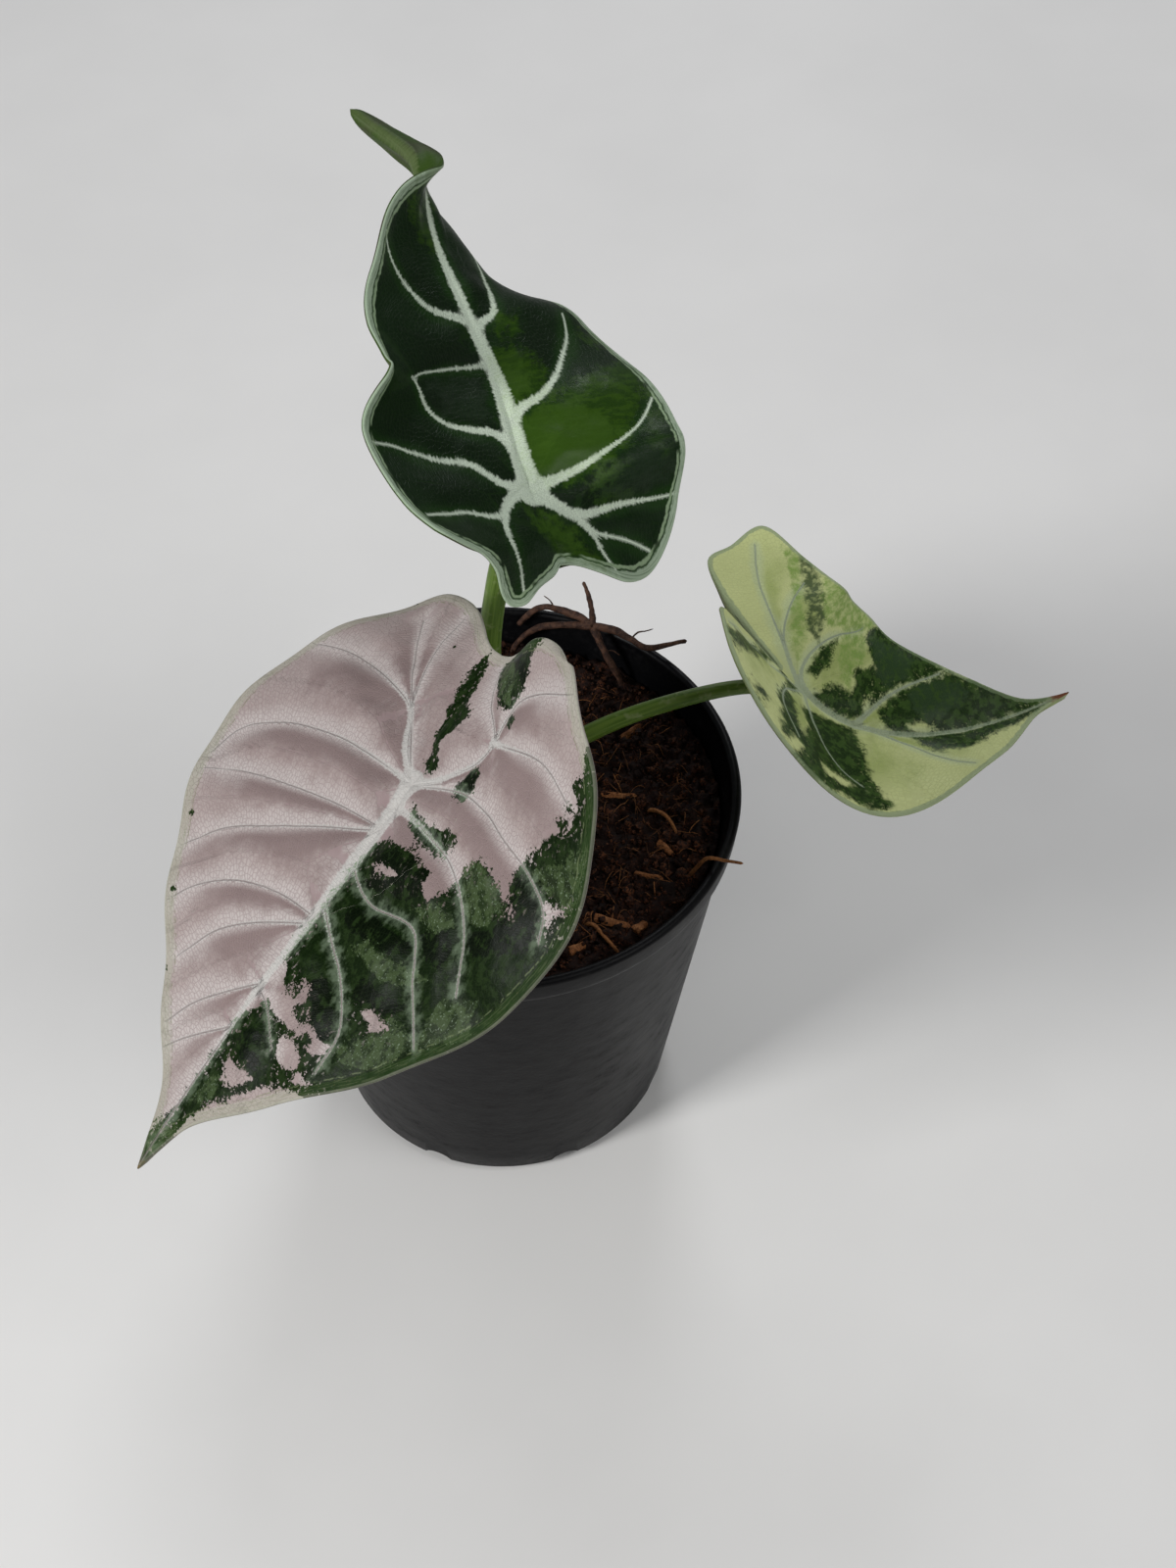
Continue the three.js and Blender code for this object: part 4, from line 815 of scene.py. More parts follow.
# half width of a blade at a place along it, read between the outline's control points, 3 mm or more
def widthAt(blade, half, along):
    points = halfOutline(blade, half)
    points = points[:np.argmin(points[:, 1]) + 1][::-1]
    return np.maximum(np.interp(along, points[:, 1], points[:, 0]), 3)


# unit normal of the bent blade: the cross product of two short steps, across and along
def bladeNormal(blade, across, along, half, step=0.4):
    here = bendBlade(blade, across, along, half)
    beside = (bendBlade(blade, across + half * step, along, half) - here) * half[:, None]
    onward = bendBlade(blade, across, along + step, half) - bendBlade(blade, across, along - step, half)
    normal = np.cross(beside, onward)
    return normal / np.linalg.norm(normal, axis=1)[:, None]


# distance from flat points to a line of points, how far along the line the foot lies, and on
# which side of the line the point is
def lineReach(x, y, line):
    a, b = line[:-1], line[1:]
    way = b - a
    size = np.linalg.norm(way, axis=1)
    t = ((x[:, None] - a[:, 0]) * way[:, 0] + (y[:, None] - a[:, 1]) * way[:, 1]) / size**2
    t = np.clip(t, 0, 1)
    gap = np.hypot(x[:, None] - a[:, 0] - t * way[:, 0], y[:, None] - a[:, 1] - t * way[:, 1])
    k = gap.argmin(1)
    start = np.concatenate([[0], np.cumsum(size)[:-1]])
    rows = np.arange(len(x))
    side = np.sign(way[k, 0] * (y - a[k, 1]) - way[k, 1] * (x - a[k, 0]))
    return gap[rows, k], start[k] + t[rows, k] * size[k], side


# distance to an outline, positive inside it: inside where a ray to the right crosses it oddly
def insideReach(x, y, outline):
    ring = np.array(outline + outline[:1], float)
    gap = lineReach(x, y, ring)[0]
    a, b = ring[:-1], ring[1:]
    spans = (a[:, 1] > y[:, None]) != (b[:, 1] > y[:, None])
    rise = np.where(b[:, 1] == a[:, 1], 1e-9, b[:, 1] - a[:, 1])
    crossing = a[:, 0] + (y[:, None] - a[:, 1]) / rise * (b[:, 0] - a[:, 0])
    odd = (spans & (x[:, None] < crossing)).sum(1) % 2 == 1
    return np.where(odd, gap, -gap)


# how far a point lies inside any of several outlines: the largest of its distances into them
def patchField(x, y, outlines):
    if not outlines:
        return x * 0 + relief["outside"]
    return np.max([insideReach(x, y, outline) for outline in outlines], axis=0)


# the least of several distances, run softly together: minus the blend times the logarithm of the
# summed exponentials
def softLeast(distances, softness):
    return -softness * np.log(np.exp(-distances / softness).sum(0).clip(1e-30))


# a blade: spokes from the stalk to the outline with rings between, an upper and a lower face
# with the same triangles, and a rounded rim. Above it is quilted between the veins, and the
# midrib and the veins are ridges below
def buildBlade(blade):
    n, rings = blade["spokes"], blade["rings"]
    leftEdge, rightEdge = (flowThrough(halfOutline(blade, half), n // 2 + 1) for half in (0, 1))
    outline = np.vstack([rightEdge[:-1], (leftEdge * (-1, 1))[:0:-1]]) * relief["trim"]
    spoke, ring = np.meshgrid(np.arange(n), np.arange(1, rings + 1))
    share = np.concatenate([[0], ring.ravel() / rings])
    turn = np.concatenate([[0], spoke.ravel() / n])
    x = np.concatenate([[0], outline[spoke.ravel(), 0]]) * share
    y = np.concatenate([[0], outline[spoke.ravel(), 1]]) * share
    half = np.where(turn < 0.5, 1.0, -1.0)
    onLine = (np.abs(x) < 1e-6)

    normal = bladeNormal(blade, x, y, half)
    other = bladeNormal(blade, x[onLine], y[onLine], -half[onLine])
    normal[onLine] += other
    normal /= np.linalg.norm(normal, axis=1)[:, None]

    # veins: half widths shrink along them and flare where they leave the midrib
    lines = [(blade["midrib"][0], blade["midrib"][1], [[0, 0], [0, blade["length"]]])] + blade["veins"]
    gaps, reaches, edges, sides = [], [], [], []
    for startWidth, endWidth, points in lines:
        line = flowThrough(points, 40)
        gap, reach, side = lineReach(x, y, line)
        whole = np.linalg.norm(np.diff(line, axis=0), axis=1).sum()
        left = np.clip(1 - reach / whole, 0, 1)
        flare = relief["flare"] * startWidth * np.exp(-reach / relief["flareReach"])
        thick = endWidth + (startWidth - endWidth) * left**1.2 + flare
        gaps.append(gap)
        reaches.append(reach)
        edges.append(gap - thick)
        sides.append(side * half if sides else side * 0 - 1)
    gaps, reaches, edges, sides = np.array(gaps), np.array(reaches), np.array(edges), np.array(sides)
    edge = softLeast(edges, relief["edgeBlend"])
    order = np.argsort(gaps, axis=0)
    column = np.arange(len(x))
    reach = reaches[order[0], column]
    near = gaps.min(0)
    hold = np.clip((gaps[order[1], column] - near) / relief["holdReach"], 0, 1)
    signed = near * sides[order[0], column]
    pleat = sides[order[0], column] * (1 - 2 * near / (near + gaps[order[1], column] + 1e-6))
    steep = softLeast(gaps, relief["gapBlend"]).clip(0) * (1 + relief["quiltLean"] * pleat * (order[0] > 0))

    rib = relief["midrib"] * np.exp(-(x / relief["midribWidth"]) ** 2)
    rib *= 1 - relief["midribFade"] * np.clip(y / blade["length"], 0, None)
    rib *= np.where(share == 1, relief["rimRib"], 1)
    ridge = relief["vein"] * np.exp(-(near / relief["veinWidth"]) ** 2) * (1 - share**3)
    swell = blade["quilting"] * (1 - np.exp(-(steep / relief["quiltReach"]) ** 2))
    crease = relief["crease"] * (1 - np.exp(-near / relief["creaseReach"]))
    quilt = (swell + crease) * (1 - share ** relief["quiltFade"])
    wave = np.where(onLine, 0, blade["wave"] * np.sin(turn * blade["waves"] * 2 * np.pi) * share**6)
    ripple = blade["ripple"] * (softNoise(x, y, 5.0, 11) + 0.3 * softNoise(x, y, 2.2, 12)) * (1 - share**6)
    groove = -relief["groove"] * np.exp(-(x / relief["grooveWidth"]) ** 2) * (1 - share)
    body = relief["middle"] + (relief["edge"] - relief["middle"]) * share**3
    top = bendBlade(blade, x, y, half) + normal * (quilt + wave + ripple + groove)[:, None]
    low = top - normal * (body + rib + ridge)[:, None]

    # rim: the cut edge is drawn in above and below, so two rings between them round it off
    last = slice(1 + (rings - 1) * n, None)
    beyond = top[last] - top[1 + (rings - 2) * n:1 + (rings - 1) * n]
    beyond = beyond / np.linalg.norm(beyond, axis=1)[:, None]
    bow = [top[last] * (1 - s) + low[last] * s for s in relief["rimBow"]]
    top[last] -= beyond * relief["rimDraw"]
    low[last] -= beyond * relief["rimDraw"]
    count = len(top)
    faces = [[0, 1 + (k + 1) % n, 1 + k] for k in range(n)] + gridFaces(rings, n, 1).tolist()
    under = [[corner + count for corner in face[::-1]] for face in faces]
    rims = [np.arange(count - n, count), 2 * count + np.arange(n), 2 * count + n + np.arange(n),
            np.arange(2 * count - n, 2 * count)]
    around = np.roll(np.arange(n), -1)
    sides = [[r[k], r[around[k]], s[around[k]], s[k]]
             for r, s in zip(rims[:-1], rims[1:]) for k in range(n)]
    points = np.vstack([top, low, *bow])

    holes = patchField(x, y, blade["holes"])
    one = np.minimum(patchField(x, y, blade["patches"]), -holes)
    for sx, sy, size in blade["specks"]:
        one = np.maximum(one, (size - np.hypot(x - sx, y - sy)) * 3)
    two, three = (np.minimum(patchField(x, y, blade[key]), -holes) for key in ("darker", "lighter"))
    rim = lineReach(x, y, np.vstack([outline, outline[:1]])[::2])[0]
    fromTip = np.hypot(x, y - blade["length"])
    spread = lambda *columns: np.vstack([np.stack(columns, -1)] * 2 + [np.stack(columns, -1)[last]] * 2)
    flat = spread(x, y, x * 0)
    flat[:, 2] = np.concatenate([np.ones(count), np.zeros(count), np.ones(n), np.zeros(n)])
    values = {"flat": flat, "vein": spread(edge, reach, hold), "marks": spread(one, two, three),
              "rim": spread(rim, signed, fromTip), "pleat": spread(pleat)[:, 0]}
    material = leafMaterial(blade["node"] + "_skin", blade["look"])
    piece = makePiece(blade["node"] + "_form", points, faces + under + sides, material,
                      values)
    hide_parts(blade["node"])
    print("blade", blade["node"], len(piece.data.polygons), "faces")


for blade in (frontBlade, backBlade, rightBlade):
    buildBlade(blade)


# The leaf stalks
stalks = dict(
    petiole_front=dict(base=3, top=2.3, path=[[-3, 2, 64], [-3, 1.5, 82], [-3.5, -5, 100], [-5.5, -22, 123],
                                              [-9, -41, 143], [-11, -50.6, 151.2]]),
    petiole_back=dict(base=2.8, top=2, path=[[0.5, 8.5, 64], [0.5, 8, 82], [0.5, 4.5, 106], [0.3, 1.4, 130],
                                             [1.7, 1.6, 143], [3.7, 2.6, 154], [8.2, 4.9, 166.6]]),
    petiole_right=dict(base=2.4, top=1.4, path=[[7, 3, 64], [7, 3, 80], [11, 3.2, 94], [21.3, 3.9, 103],
                                                [36.5, 6.8, 108], [50.6, 10, 108.6], [60.6, 8.2, 109.2]]))


# green that stripes lighten, paler specks over it, brown towards the soil
def stalkMaterial():
    material, tree, shader = newMaterial("stalk_skin", Specular_IOR_Level=0.18)
    stripes = noise(tree, stretched(tree, ownValue(tree, "turn", "Vector"), (1, 1, 0.05)), 3.2)
    fine = useGroup(tree, grain, {"Place": objectPlace(tree), "Scale": 500.0, "Detail": 4.0})
    skin = blend(tree, softStep(tree, stripes, 0.35, 0.68), (0.060, 0.115, 0.012), (0.115, 0.185, 0.030))
    skin = blend(tree, softStep(tree, fine["Broad"], 0.52, 0.72), skin, (0.17, 0.22, 0.08))
    skin = blend(tree, softStep(tree, ownValue(tree, "along"), 0.30, 0.05), skin, (0.13, 0.10, 0.05))
    height = timesPlus(tree, stripes, 0.8, fine["Broad"])
    dressShader(tree, shader, skin, timesPlus(tree, fine["Close"], 0.22, 0.3), height, 0.00012)
    return material


# a stalk: the tube's radius eases from base to top, with a shallow channel and a little swelling
def buildStalks():
    material = stalkMaterial()
    for node, size in stalks.items():
        slim = size["top"] - size["base"]
        radius = lambda share, turn: (size["base"] + slim * share**0.7) * (
            1 - 0.035 * np.exp(-((turn - 1.7) / 0.45) ** 2) + 0.012 * np.sin(5 * turn + 9 * share))
        steps, sides = 120, 40
        points, faces, along = tubeForm(size["path"], steps, sides, radius, rounded=1.6)
        angle = np.concatenate([np.tile(np.linspace(0, 2 * np.pi, sides, endpoint=False), steps), [0, 0]])
        turn = np.stack([np.cos(angle), np.sin(angle), along * 40], -1)
        piece = makePiece(node + "_form", points, faces, material, {"along": along, "turn": turn})
        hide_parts(node)
    print("stalks made")


buildStalks()


# The pot
pot = dict(rim=50, base=36, height=90, wall=1.4, lip=1.9, bead=1.05, floor=2, steps=192, holes=8,
           holeRadius=3.6)


# black plastic with dust near the foot, on the lip and in soft patches
def potMaterial():
    material, tree, shader = newMaterial("pot_skin", Specular_IOR_Level=0.1)
    place = objectPlace(tree)
    marks = useGroup(tree, grain, {"Place": place, "Scale": 160.0, "Stretch": (1, 1, 2), "Detail": 6.0})
    height = parts(tree, place)[2]
    low = softStep(tree, height, 0.012, 0.0)
    lip = softStep(tree, height, 0.082, 0.088)
    dusty = times(tree, softStep(tree, marks["Broad"], 0.5, 0.75), 0.5)
    dust = larger(tree, times(tree, low, 0.25), timesPlus(tree, lip, 0.12, dusty))
    dust = times(tree, dust, softStep(tree, marks["Close"], 0.35, 0.7))
    skin = blend(tree, dust, (0.0025, 0.0025, 0.003), (0.017, 0.016, 0.016))
    rough = timesPlus(tree, marks["Broad"], 0.22, timesPlus(tree, dust, 0.3, 0.28))
    bumps = timesPlus(tree, marks["Close"], 0.5, marks["Broad"])
    dressShader(tree, shader, skin, rough, bumps, 0.00008, 0.7)
    return material


# radius of the outer wall, a straight line from the base to the foot of the rolled lip
def wallRadius(z):
    return pot["base"] + (pot["rim"] - pot["lip"] - pot["base"]) * z / (pot["height"] - 6)


# the pot: a profile turned round the axis, with slanted holes cut through the lower corner
def buildPot():
    inner = lambda z: wallRadius(z) - pot["wall"]
    roll = np.radians(np.linspace(-8, 188, 17))
    lipFoot = pot["height"] - 6
    outside = [[0, 0], [20, 0], [pot["base"] - 2.6, 0], [pot["base"] - 1.5, 0.2], [pot["base"] - 0.8, 0.8],
               [wallRadius(2.6), 2.6]] + [[wallRadius(z), z] for z in np.linspace(8, lipFoot - 2, 14)]
    outside += [[wallRadius(lipFoot - 1), lipFoot - 1], [pot["rim"] - 1.5, lipFoot - 0.45],
                [pot["rim"] - 0.95, lipFoot - 0.15], [pot["rim"] - 0.55, lipFoot + 0.35],
                [pot["rim"] - 0.4, lipFoot + 1.2], [pot["rim"] - 0.2, lipFoot + 3]]
    bead = pot["bead"]
    outside += [[pot["rim"] - bead + bead * np.cos(a), pot["height"] - bead + bead * np.sin(a)] for a in roll]
    outside += [[inner(lipFoot) + 0.5, lipFoot + 2.2], [inner(lipFoot) + 0.1, lipFoot + 0.6]]
    outside += [[inner(z), z] for z in np.linspace(lipFoot - 3, 6, 10)]
    outside += [[inner(3.2) - 0.3, 3.2], [inner(2) - 1.6, pot["floor"]], [18, pot["floor"]],
                [0, pot["floor"]]]
    profile = np.array(outside)
    turn = np.linspace(0, 2 * np.pi, pot["steps"], endpoint=False)
    body = profile[1:-1]
    points = np.stack([body[:, :1] * np.sin(turn), -body[:, :1] * np.cos(turn),
                       body[:, 1:] * np.ones(len(turn))], -1).reshape(-1, 3)
    points = np.vstack([points, [[0, 0, 0], [0, 0, pot["floor"]]]])
    faces = closedFaces(len(body), pot["steps"])
    piece = makePiece("pot_form", points, faces, potMaterial())
    cutters = []
    for k in range(pot["holes"]):
        angle = (k + 0.5) / pot["holes"] * 2 * np.pi
        radial = np.array([np.cos(angle), np.sin(angle), 0])
        centre = radial * (pot["base"] - 2.2) + np.array([0, 0, 2.2])
        slant = (radial - np.array([0, 0, 1])) / np.sqrt(2)
        path = [centre - slant * 6, centre, centre + slant * 6]
        cutters.append(tubeForm(path, 3, 40, lambda share, turn: pot["holeRadius"])[:2] + ({},))
    drillPoints, drillFaces, _ = joinForms(cutters)
    drill = bpy.data.meshes.new("drill")
    drill.from_pydata((drillPoints * toMetres).tolist(), [], drillFaces)
    drillObject = bpy.data.objects.new("drill", drill)
    bpy.context.scene.collection.objects.link(drillObject)
    cut = piece.modifiers.new("holes", "BOOLEAN")
    cut.operation, cut.object, cut.solver = "DIFFERENCE", drillObject, "EXACT"
    bpy.context.view_layer.update()
    done = bpy.data.meshes.new_from_object(piece.evaluated_get(bpy.context.evaluated_depsgraph_get()))
    piece.modifiers.clear()
    piece.data = done
    done.shade_smooth()
    done.set_sharp_from_angle(angle=math.radians(32))
    bpy.data.objects.remove(drillObject)
    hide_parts("pot")
    print("pot made", len(done.polygons), "faces")


buildPot()


# The soil
soil = dict(level=84.4, rings=130, turns=420, fibres=620, gap=0.45, foot=2.3, edgeHeight=82, seed=41)

# loose grains, large then small: count, distance kept from the wall, size, squash, how far they
# sink, lift, columns and rows of their grid, roughness
soilGrains = [(900, 2.0, (0.5, 1.25), (0.55, 1.25), 0.1, (-0.4, 0.4), 6, 3, 0.24),
              (3800, 0.8, (0.22, 0.55), (0.7, 1.2), 0.0, (-0.1, 0.5), 4, 2, 0.2)]
chips = [([20, -29.5], [27.4, -31.6], 2), ([28, -18], [34, -19.3], 1.5), ([15, -38], [18.5, -36], 2.2),
         ([28, -33], [30.5, -30.5], 2.4), ([33, -10], [36, -13], 1.8), ([21.5, 2.5], [29, 2.2], 1.4),
         ([-24, 24], [-19, 27], 2.4), ([-34, -6], [-30, -1], 2.2), ([8, 33], [13, 36], 2.2),
         ([-12, 38], [-6, 37], 1.8), ([26, 18], [30, 22], 2.2), ([-20, -28], [-14, -31], 2)]
longFibres = [[[17.7, -30.2, -1], [20, -31.8, 1], [22.1, -34.7, 1.2], [24, -37, 0.8], [25.5, -38.2, -1]],
              [[30.8, -0.7, -1], [33, -2.6, 1.2], [34.9, -4.6, 1.3], [36.4, -6.6, 0.9], [37.4, -8.4, -1]],
              [[38.6, -18, -2], [40.6, -19, 3.4], [42.6, -20, 7.6], [46, -21.5, 8.8], [49.3, -23, 9.4]]]


# height of the soil: a slope, a low mound at the stalks, and the lumps the solid has
def soilHeight(x, y):
    mound = 1.6 * np.exp(-(x * x + (y - 3) ** 2) / 260)
    lumps = (0.45 * np.sin(0.9 * x + 1.3) * np.sin(0.8 * y + 0.4) + 0.35 * np.sin(1.7 * x - 1.1 * y)
             + 0.3 * np.sin(0.6 * x + 1.9 * y + 2))
    return soil["level"] - 0.034 * y - 0.03 * x + mound + lumps


# the tint mixes dark and light, broad grain adds spots, and close grain darkens by the grit
def soilMaterial(name, dark, light, spot, rough, grit=1.0):
    material, tree, shader = newMaterial(name, Specular_IOR_Level=0.15)
    mixed = useGroup(tree, grain, {"Place": objectPlace(tree), "Scale": 420.0, "Detail": 6.0})
    skin = blend(tree, ownValue(tree, "tint"), dark, light)
    skin = blend(tree, softStep(tree, mixed["Broad"], 0.46, 0.7), skin, spot)
    skin = blend(tree, times(tree, softStep(tree, mixed["Close"], 0.6, 0.4), grit), skin, dark)
    height = timesPlus(tree, mixed["Close"], 0.5, mixed["Broad"])
    dressShader(tree, shader, skin, timesPlus(tree, mixed["Close"], 0.25, rough), height, 0.0005)
    return material


# many small lumps at once: a squashed sphere grid whose corners are pushed in and out at
# random, then sized, turned and set at each place
def scatterLumps(places, sizes, columns, rows, dice, roughness):
    lat = np.linspace(0, np.pi, rows + 2)[1:-1]
    lon = np.linspace(0, 2 * np.pi, columns, endpoint=False)
    unit = np.stack([np.sin(lat)[:, None] * np.cos(lon), np.sin(lat)[:, None] * np.sin(lon),
                     np.cos(lat)[:, None] * np.ones(columns)], -1).reshape(-1, 3)
    unit = np.vstack([unit, [0, 0, 1], [0, 0, -1]])
    count = len(places)
    push = 1 + roughness * dice.uniform(-1, 1, (count, len(unit), 1))
    body = unit[None] * push * sizes[:, None, :]
    quat = dice.normal(size=(count, 4))
    w, i, j, k = (quat / np.linalg.norm(quat, axis=1)[:, None]).T
    turn = np.stack([1 - 2 * (j * j + k * k), 2 * (i * j - k * w), 2 * (i * k + j * w),
                     2 * (i * j + k * w), 1 - 2 * (i * i + k * k), 2 * (j * k - i * w),
                     2 * (i * k - j * w), 2 * (j * k + i * w), 1 - 2 * (i * i + j * j)], -1)
    turn = turn.reshape(-1, 3, 3)
    points = np.einsum("nij,nmj->nmi", turn, body) + places[:, None, :]
    quads = gridFaces(rows, columns)[:, ::-1]
    top, low, last = rows * columns, rows * columns + 1, (rows - 1) * columns
    ring = np.arange(columns)
    caps = np.vstack([np.stack([top + 0 * ring, ring, (ring + 1) % columns], -1),
                      np.stack([low + 0 * ring, last + (ring + 1) % columns, last + ring], -1)])
    shift = (np.arange(count) * len(unit))[:, None, None]
    faces = (quads[None] + shift).reshape(-1, 4).tolist() + (caps[None] + shift).reshape(-1, 3).tolist()
    tint = np.repeat(dice.uniform(0, 1, count) ** 2, len(unit))
    return points.reshape(-1, 3), faces, {"tint": tint}


# radius of the soil at a height: the pot's inner wall less the gap
def soilRadius(height):
    return wallRadius(height) - pot["wall"] - soil["gap"]


# random places spread evenly over the soil, kept off the wall: the radius goes with the square
# root of a draw
def soilPlaces(count, dice, margin):
    radius = (soilRadius(soil["edgeHeight"]) - margin) * np.sqrt(dice.uniform(0, 1, count))
    angle = dice.uniform(0, 2 * np.pi, count)
    x, y = radius * np.cos(angle), radius * np.sin(angle)
    return x, y, soilHeight(x, y)


# the soil: rings from the middle out over its height and noise, then down the wall to the foot
def buildSoil():
    dice = np.random.default_rng(soil["seed"])
    edge = soilRadius(soil["edgeHeight"])
    share = np.linspace(0, 1, soil["rings"] + 1)[1:, None]
    turn = np.linspace(0, 2 * np.pi, soil["turns"], endpoint=False)[None, :]
    x, y = edge * share * np.sin(turn), -edge * share * np.cos(turn)
    rough = 0.55 * softNoise(x, y, 2.3, 3) + 0.4 * softNoise(x, y, 1.1, 4) + 0.25 * softNoise(x, y, 0.6, 5)
    z = soilHeight(x, y) - 0.25 + rough
    rings = [np.stack([x, y, z], -1)]
    down = [(soilRadius(height), height) for height in (60, 30, 8)] + [(soilRadius(2) - 2.4, soil["foot"])]
    for radius, height in down:
        rings.append(np.stack([radius * np.sin(turn), -radius * np.cos(turn), height + 0 * turn], -1))
    body = np.concatenate(rings, 0)
    points = np.vstack([body.reshape(-1, 3), [[0, 0, soilHeight(0, 0)], [0, 0, soil["foot"]]]])
    faces = [face[::-1] for face in closedFaces(len(body), soil["turns"])]
    tint = np.clip(0.35 + 0.5 * softNoise(points[:, 0], points[:, 1], 3.0, 8), 0, 1)
    ground = soilMaterial("soil_skin", (0.005, 0.0016, 0.001), (0.022, 0.007, 0.0035), (0.05, 0.016, 0.007),
                          0.66)
    piece = makePiece("soil_ground", points, faces, ground, {"tint": tint})
    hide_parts("soil")

    # bark lumps and crumbs, then the chips that the solid has
    grains = []
    for count, margin, span, squash, sink, lift, columns, rows, roughness in soilGrains:
        x, y, z = soilPlaces(count, dice, margin)
        size = dice.uniform(*span, (count, 1)) * dice.uniform(*squash, (count, 3))
        places = np.stack([x, y, z - sink + dice.uniform(*lift, count)], -1)
        grains.append(scatterLumps(places, size, columns, rows, dice, roughness))
    bark = soilMaterial("bark_skin", (0.006, 0.002, 0.0012), (0.085, 0.027, 0.010), (0.12, 0.042, 0.016),
                        0.6)
    points, faces, values = joinForms(grains)
    makePiece("soil_lumps", points, faces, bark, values, sharpAngle=30)

    # splinters: a slim tapered body between two ends, with ragged sides
    splinters = []
    for start, finish, width in chips:
        line = np.linspace(start, finish, 6)
        z = soilHeight(line[:, 0], line[:, 1]) * 0.4 + soilHeight(*np.mean(line, 0)) * 0.6 + 0.2
        phase = dice.uniform(0, 6)
        radius = lambda share, turn: width * 0.46 * (1 - 0.35 * share) * (
            1 + 0.18 * np.sin(3 * turn + phase) + 0.1 * np.sin(9 * share + 5 * turn + phase))
        form = tubeForm(np.column_stack([line, z]), 16, 9, radius, rounded=0.5)
        splinters.append(tinted(form, dice.uniform(0.55, 1.0)))
    points, faces, values = joinForms(splinters)
    chipSkin = soilMaterial("chip_skin", (0.05, 0.017, 0.007), (0.27, 0.105, 0.036), (0.34, 0.15, 0.06),
                            0.5, 0.5)
    makePiece("soil_chips", points, faces, chipSkin, values, sharpAngle=35)

    # fibres: thin curved threads that dip in and out of the soil
    threads = []
    for path in longFibres:
        lifted = [[x, y, soilHeight(x, y) + lift] for x, y, lift in path]
        form = tubeForm(lifted, 40, 7, lambda share, turn: 0.52 - 0.22 * share, rounded=0.4)
        threads.append(tinted(form, 0.95))
    x, y, _ = soilPlaces(soil["fibres"], dice, 5.0)
    heading, bow = dice.uniform(0, 2 * np.pi, len(x)), dice.uniform(-0.6, 0.6, len(x))
    length, thick = dice.uniform(2.0, 7.5, len(x)), dice.uniform(0.06, 0.16, len(x))
    for k in range(len(x)):
        t = np.linspace(-0.5, 0.5, 5)
        px = x[k] + length[k] * (t * np.cos(heading[k]) - bow[k] * (t * t) * np.sin(heading[k]))
        py = y[k] + length[k] * (t * np.sin(heading[k]) + bow[k] * (t * t) * np.cos(heading[k]))
        pz = soilHeight(px, py) + np.array([-0.7, 0.35, 0.75, 0.35, -0.7])
        path = np.column_stack([px, py, pz])
        form = tubeForm(path, 9, 4, lambda share, turn: thick[k] * (1 - 0.4 * share))
        threads.append(tinted(form, dice.uniform(0, 1) ** 1.5))
    points, faces, values = joinForms(threads)
    threadSkin = soilMaterial("fibre_skin", (0.015, 0.005, 0.0025), (0.30, 0.125, 0.042),
                              (0.20, 0.085, 0.034), 0.55, 0.4)
    makePiece("soil_fibres", points, faces, threadSkin, values)
    print("soil made")


buildSoil()


# The dry root over the soil at the back
rootBranches = [
    (0.6, 0.95, [[4, 46, 88], [7, 46.5, 91.5], [9.5, 46.6, 93], [13.6, 44.9, 93.6], [17.6, 42.8, 93.6],
                 [20, 41, 93]]),
    (0.95, 0.5, [[20, 41, 93], [24.4, 39.5, 93.4], [28, 37.3, 93], [31, 35.4, 92.4], [34.2, 35.8, 92.3],
                 [37.2, 36.3, 92.8], [39.8, 36.6, 93.2]]),
    (0.6, 0.9, [[2, 43.6, 80], [4, 44.4, 84.5], [8, 44.6, 88.4], [13, 43.4, 90.8], [17, 41.8, 92.4],
                [20, 41, 93]]),
    (0.9, 0.6, [[20, 41, 93], [21.6, 38.4, 90.6], [23.4, 35.9, 88], [25.6, 34.4, 84], [27, 33.8, 78]]),
    (0.8, 0.4, [[20, 41, 93], [19.8, 43.5, 95], [19, 46.3, 97.2], [18, 48.6, 98.6]]),
    (0.25, 0.1, [[28, 37.3, 93], [29.5, 38.6, 93.6], [31.2, 39.4, 93.2], [32.8, 40.6, 92.6]]),
    (0.22, 0.1, [[12, 45.2, 93.4], [11, 46.8, 94.6], [9.6, 47.6, 95.4]]),
    (0.2, 0.1, [[22.6, 37, 89.4], [24.2, 37.6, 89], [25.8, 37.2, 88]])]


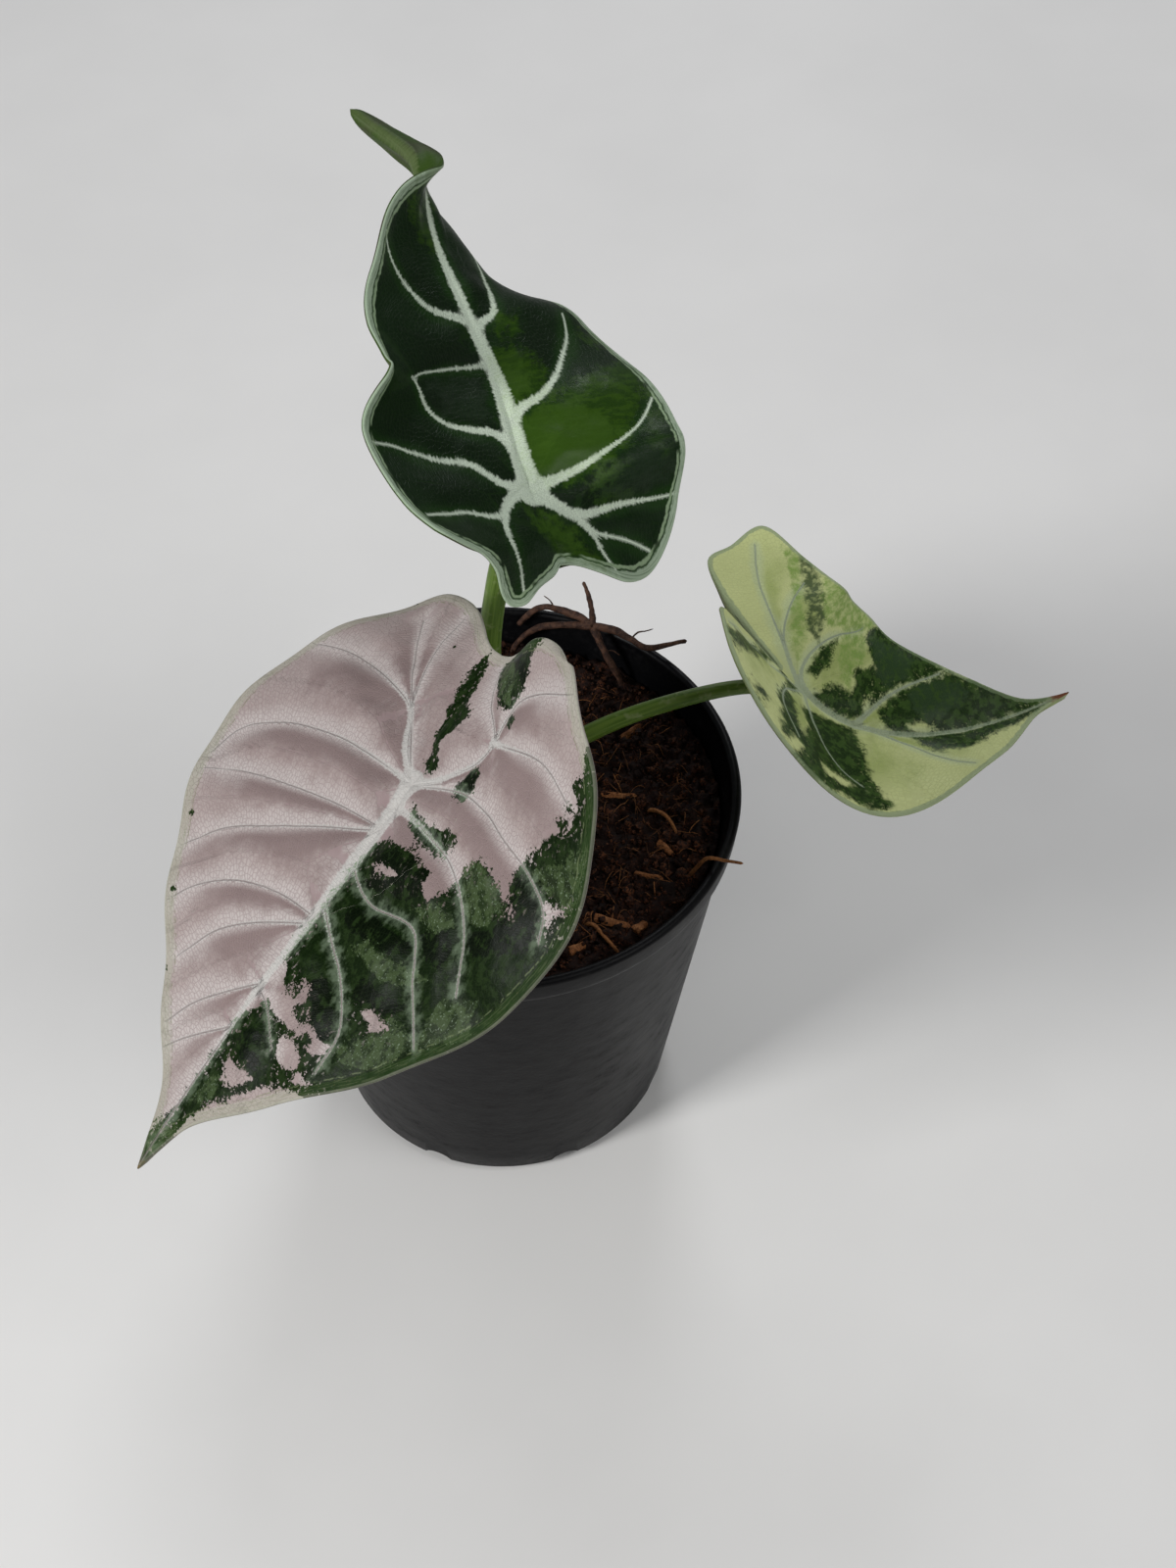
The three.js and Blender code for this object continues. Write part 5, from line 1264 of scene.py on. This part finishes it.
# the root: tubes whose radius runs from base to top, with knots as two sine waves
def buildRoot():
    material, tree, shader = newMaterial("root_skin", Specular_IOR_Level=0.25)
    bark = useGroup(tree, grain, {"Place": objectPlace(tree), "Scale": 700.0, "Detail": 5.0})
    skin = blend(tree, softStep(tree, bark["Broad"], 0.35, 0.65), (0.022, 0.009, 0.0055),
                 (0.078, 0.036, 0.021))
    skin = blend(tree, softStep(tree, bark["Close"], 0.58, 0.75), skin, (0.125, 0.07, 0.044))
    height = timesPlus(tree, bark["Close"], 0.4, bark["Broad"])
    dressShader(tree, shader, skin, timesPlus(tree, bark["Close"], 0.2, 0.62), height, 0.0003)
    forms = []
    for k, (base, top, path) in enumerate(rootBranches):
        radius = lambda share, turn: (base + (top - base) * share) * (
            0.93 + 0.09 * np.sin(14 * share + 2 * turn + k) + 0.07 * np.sin(37 * share + 3 * turn + 2 * k))
        form = tubeForm(path, 60, 14, radius, rounded=0.5)
        forms.append((form[0], form[1], {}))
    points, faces, _ = joinForms(forms)
    piece = makePiece("dry_root_form", points, faces, material)
    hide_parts("dry_root")
    print("root made")


buildRoot()


# Floor and light
studio = dict(floor=(0.80, 0.79, 0.77), size=3.0, world=0.22)


# a round lamp that faces a point: tilted by the angle from straight down, then turned towards it
def areaLight(name, place, aim, size, power, tint=(1, 1, 1)):
    data = bpy.data.lights.new(name, "AREA")
    data.shape, data.size, data.energy, data.color = "DISK", size, power, tint
    lamp = bpy.data.objects.new(name, data)
    lamp.location = place
    toward = np.array(aim) - np.array(place)
    flatReach = math.hypot(toward[0], toward[1])
    lamp.rotation_euler = (math.atan2(flatReach, -toward[2]), 0, math.atan2(-toward[0], toward[1]))
    bpy.context.scene.collection.objects.link(lamp)


def buildStudio():
    material, tree, shader = newMaterial("floor_skin", Roughness=0.6, Specular_IOR_Level=0.3)
    place = objectPlace(tree)
    cloud = noise(tree, place, 9.0, 4.0)
    pale = studio["floor"]
    skin = blend(tree, softStep(tree, cloud, 0.3, 0.7), pale, tuple(0.95 * c for c in pale))
    tree.links.new(skin, shader.inputs["Base Color"])
    s = studio["size"]
    mesh = bpy.data.meshes.new("floor")
    mesh.from_pydata([(-s, -s, 0), (s, -s, 0), (s, s, 0), (-s, s, 0)], [], [(0, 1, 2, 3)])
    mesh.materials.append(material)
    floor = bpy.data.objects.new("floor", mesh)
    bpy.context.scene.collection.objects.link(floor)
    world = bpy.data.worlds.new("softWorld")
    world.use_nodes = True
    world.node_tree.nodes["Background"].inputs[0].default_value = (0.93, 0.95, 1.0, 1)
    world.node_tree.nodes["Background"].inputs[1].default_value = studio["world"]
    bpy.context.scene.world = world
    areaLight("keyLight", (-0.78, -0.58, 0.68), (0, 0, 0.1), 0.3, 9.0)
    areaLight("fillLight", (0.65, -0.45, 0.95), (0, 0, 0.1), 0.6, 3.4)
    areaLight("backLight", (0.1, 0.85, 0.8), (0, 0, 0.1), 0.35, 2.8, (0.95, 0.97, 1.0))
    print("studio made")


buildStudio()
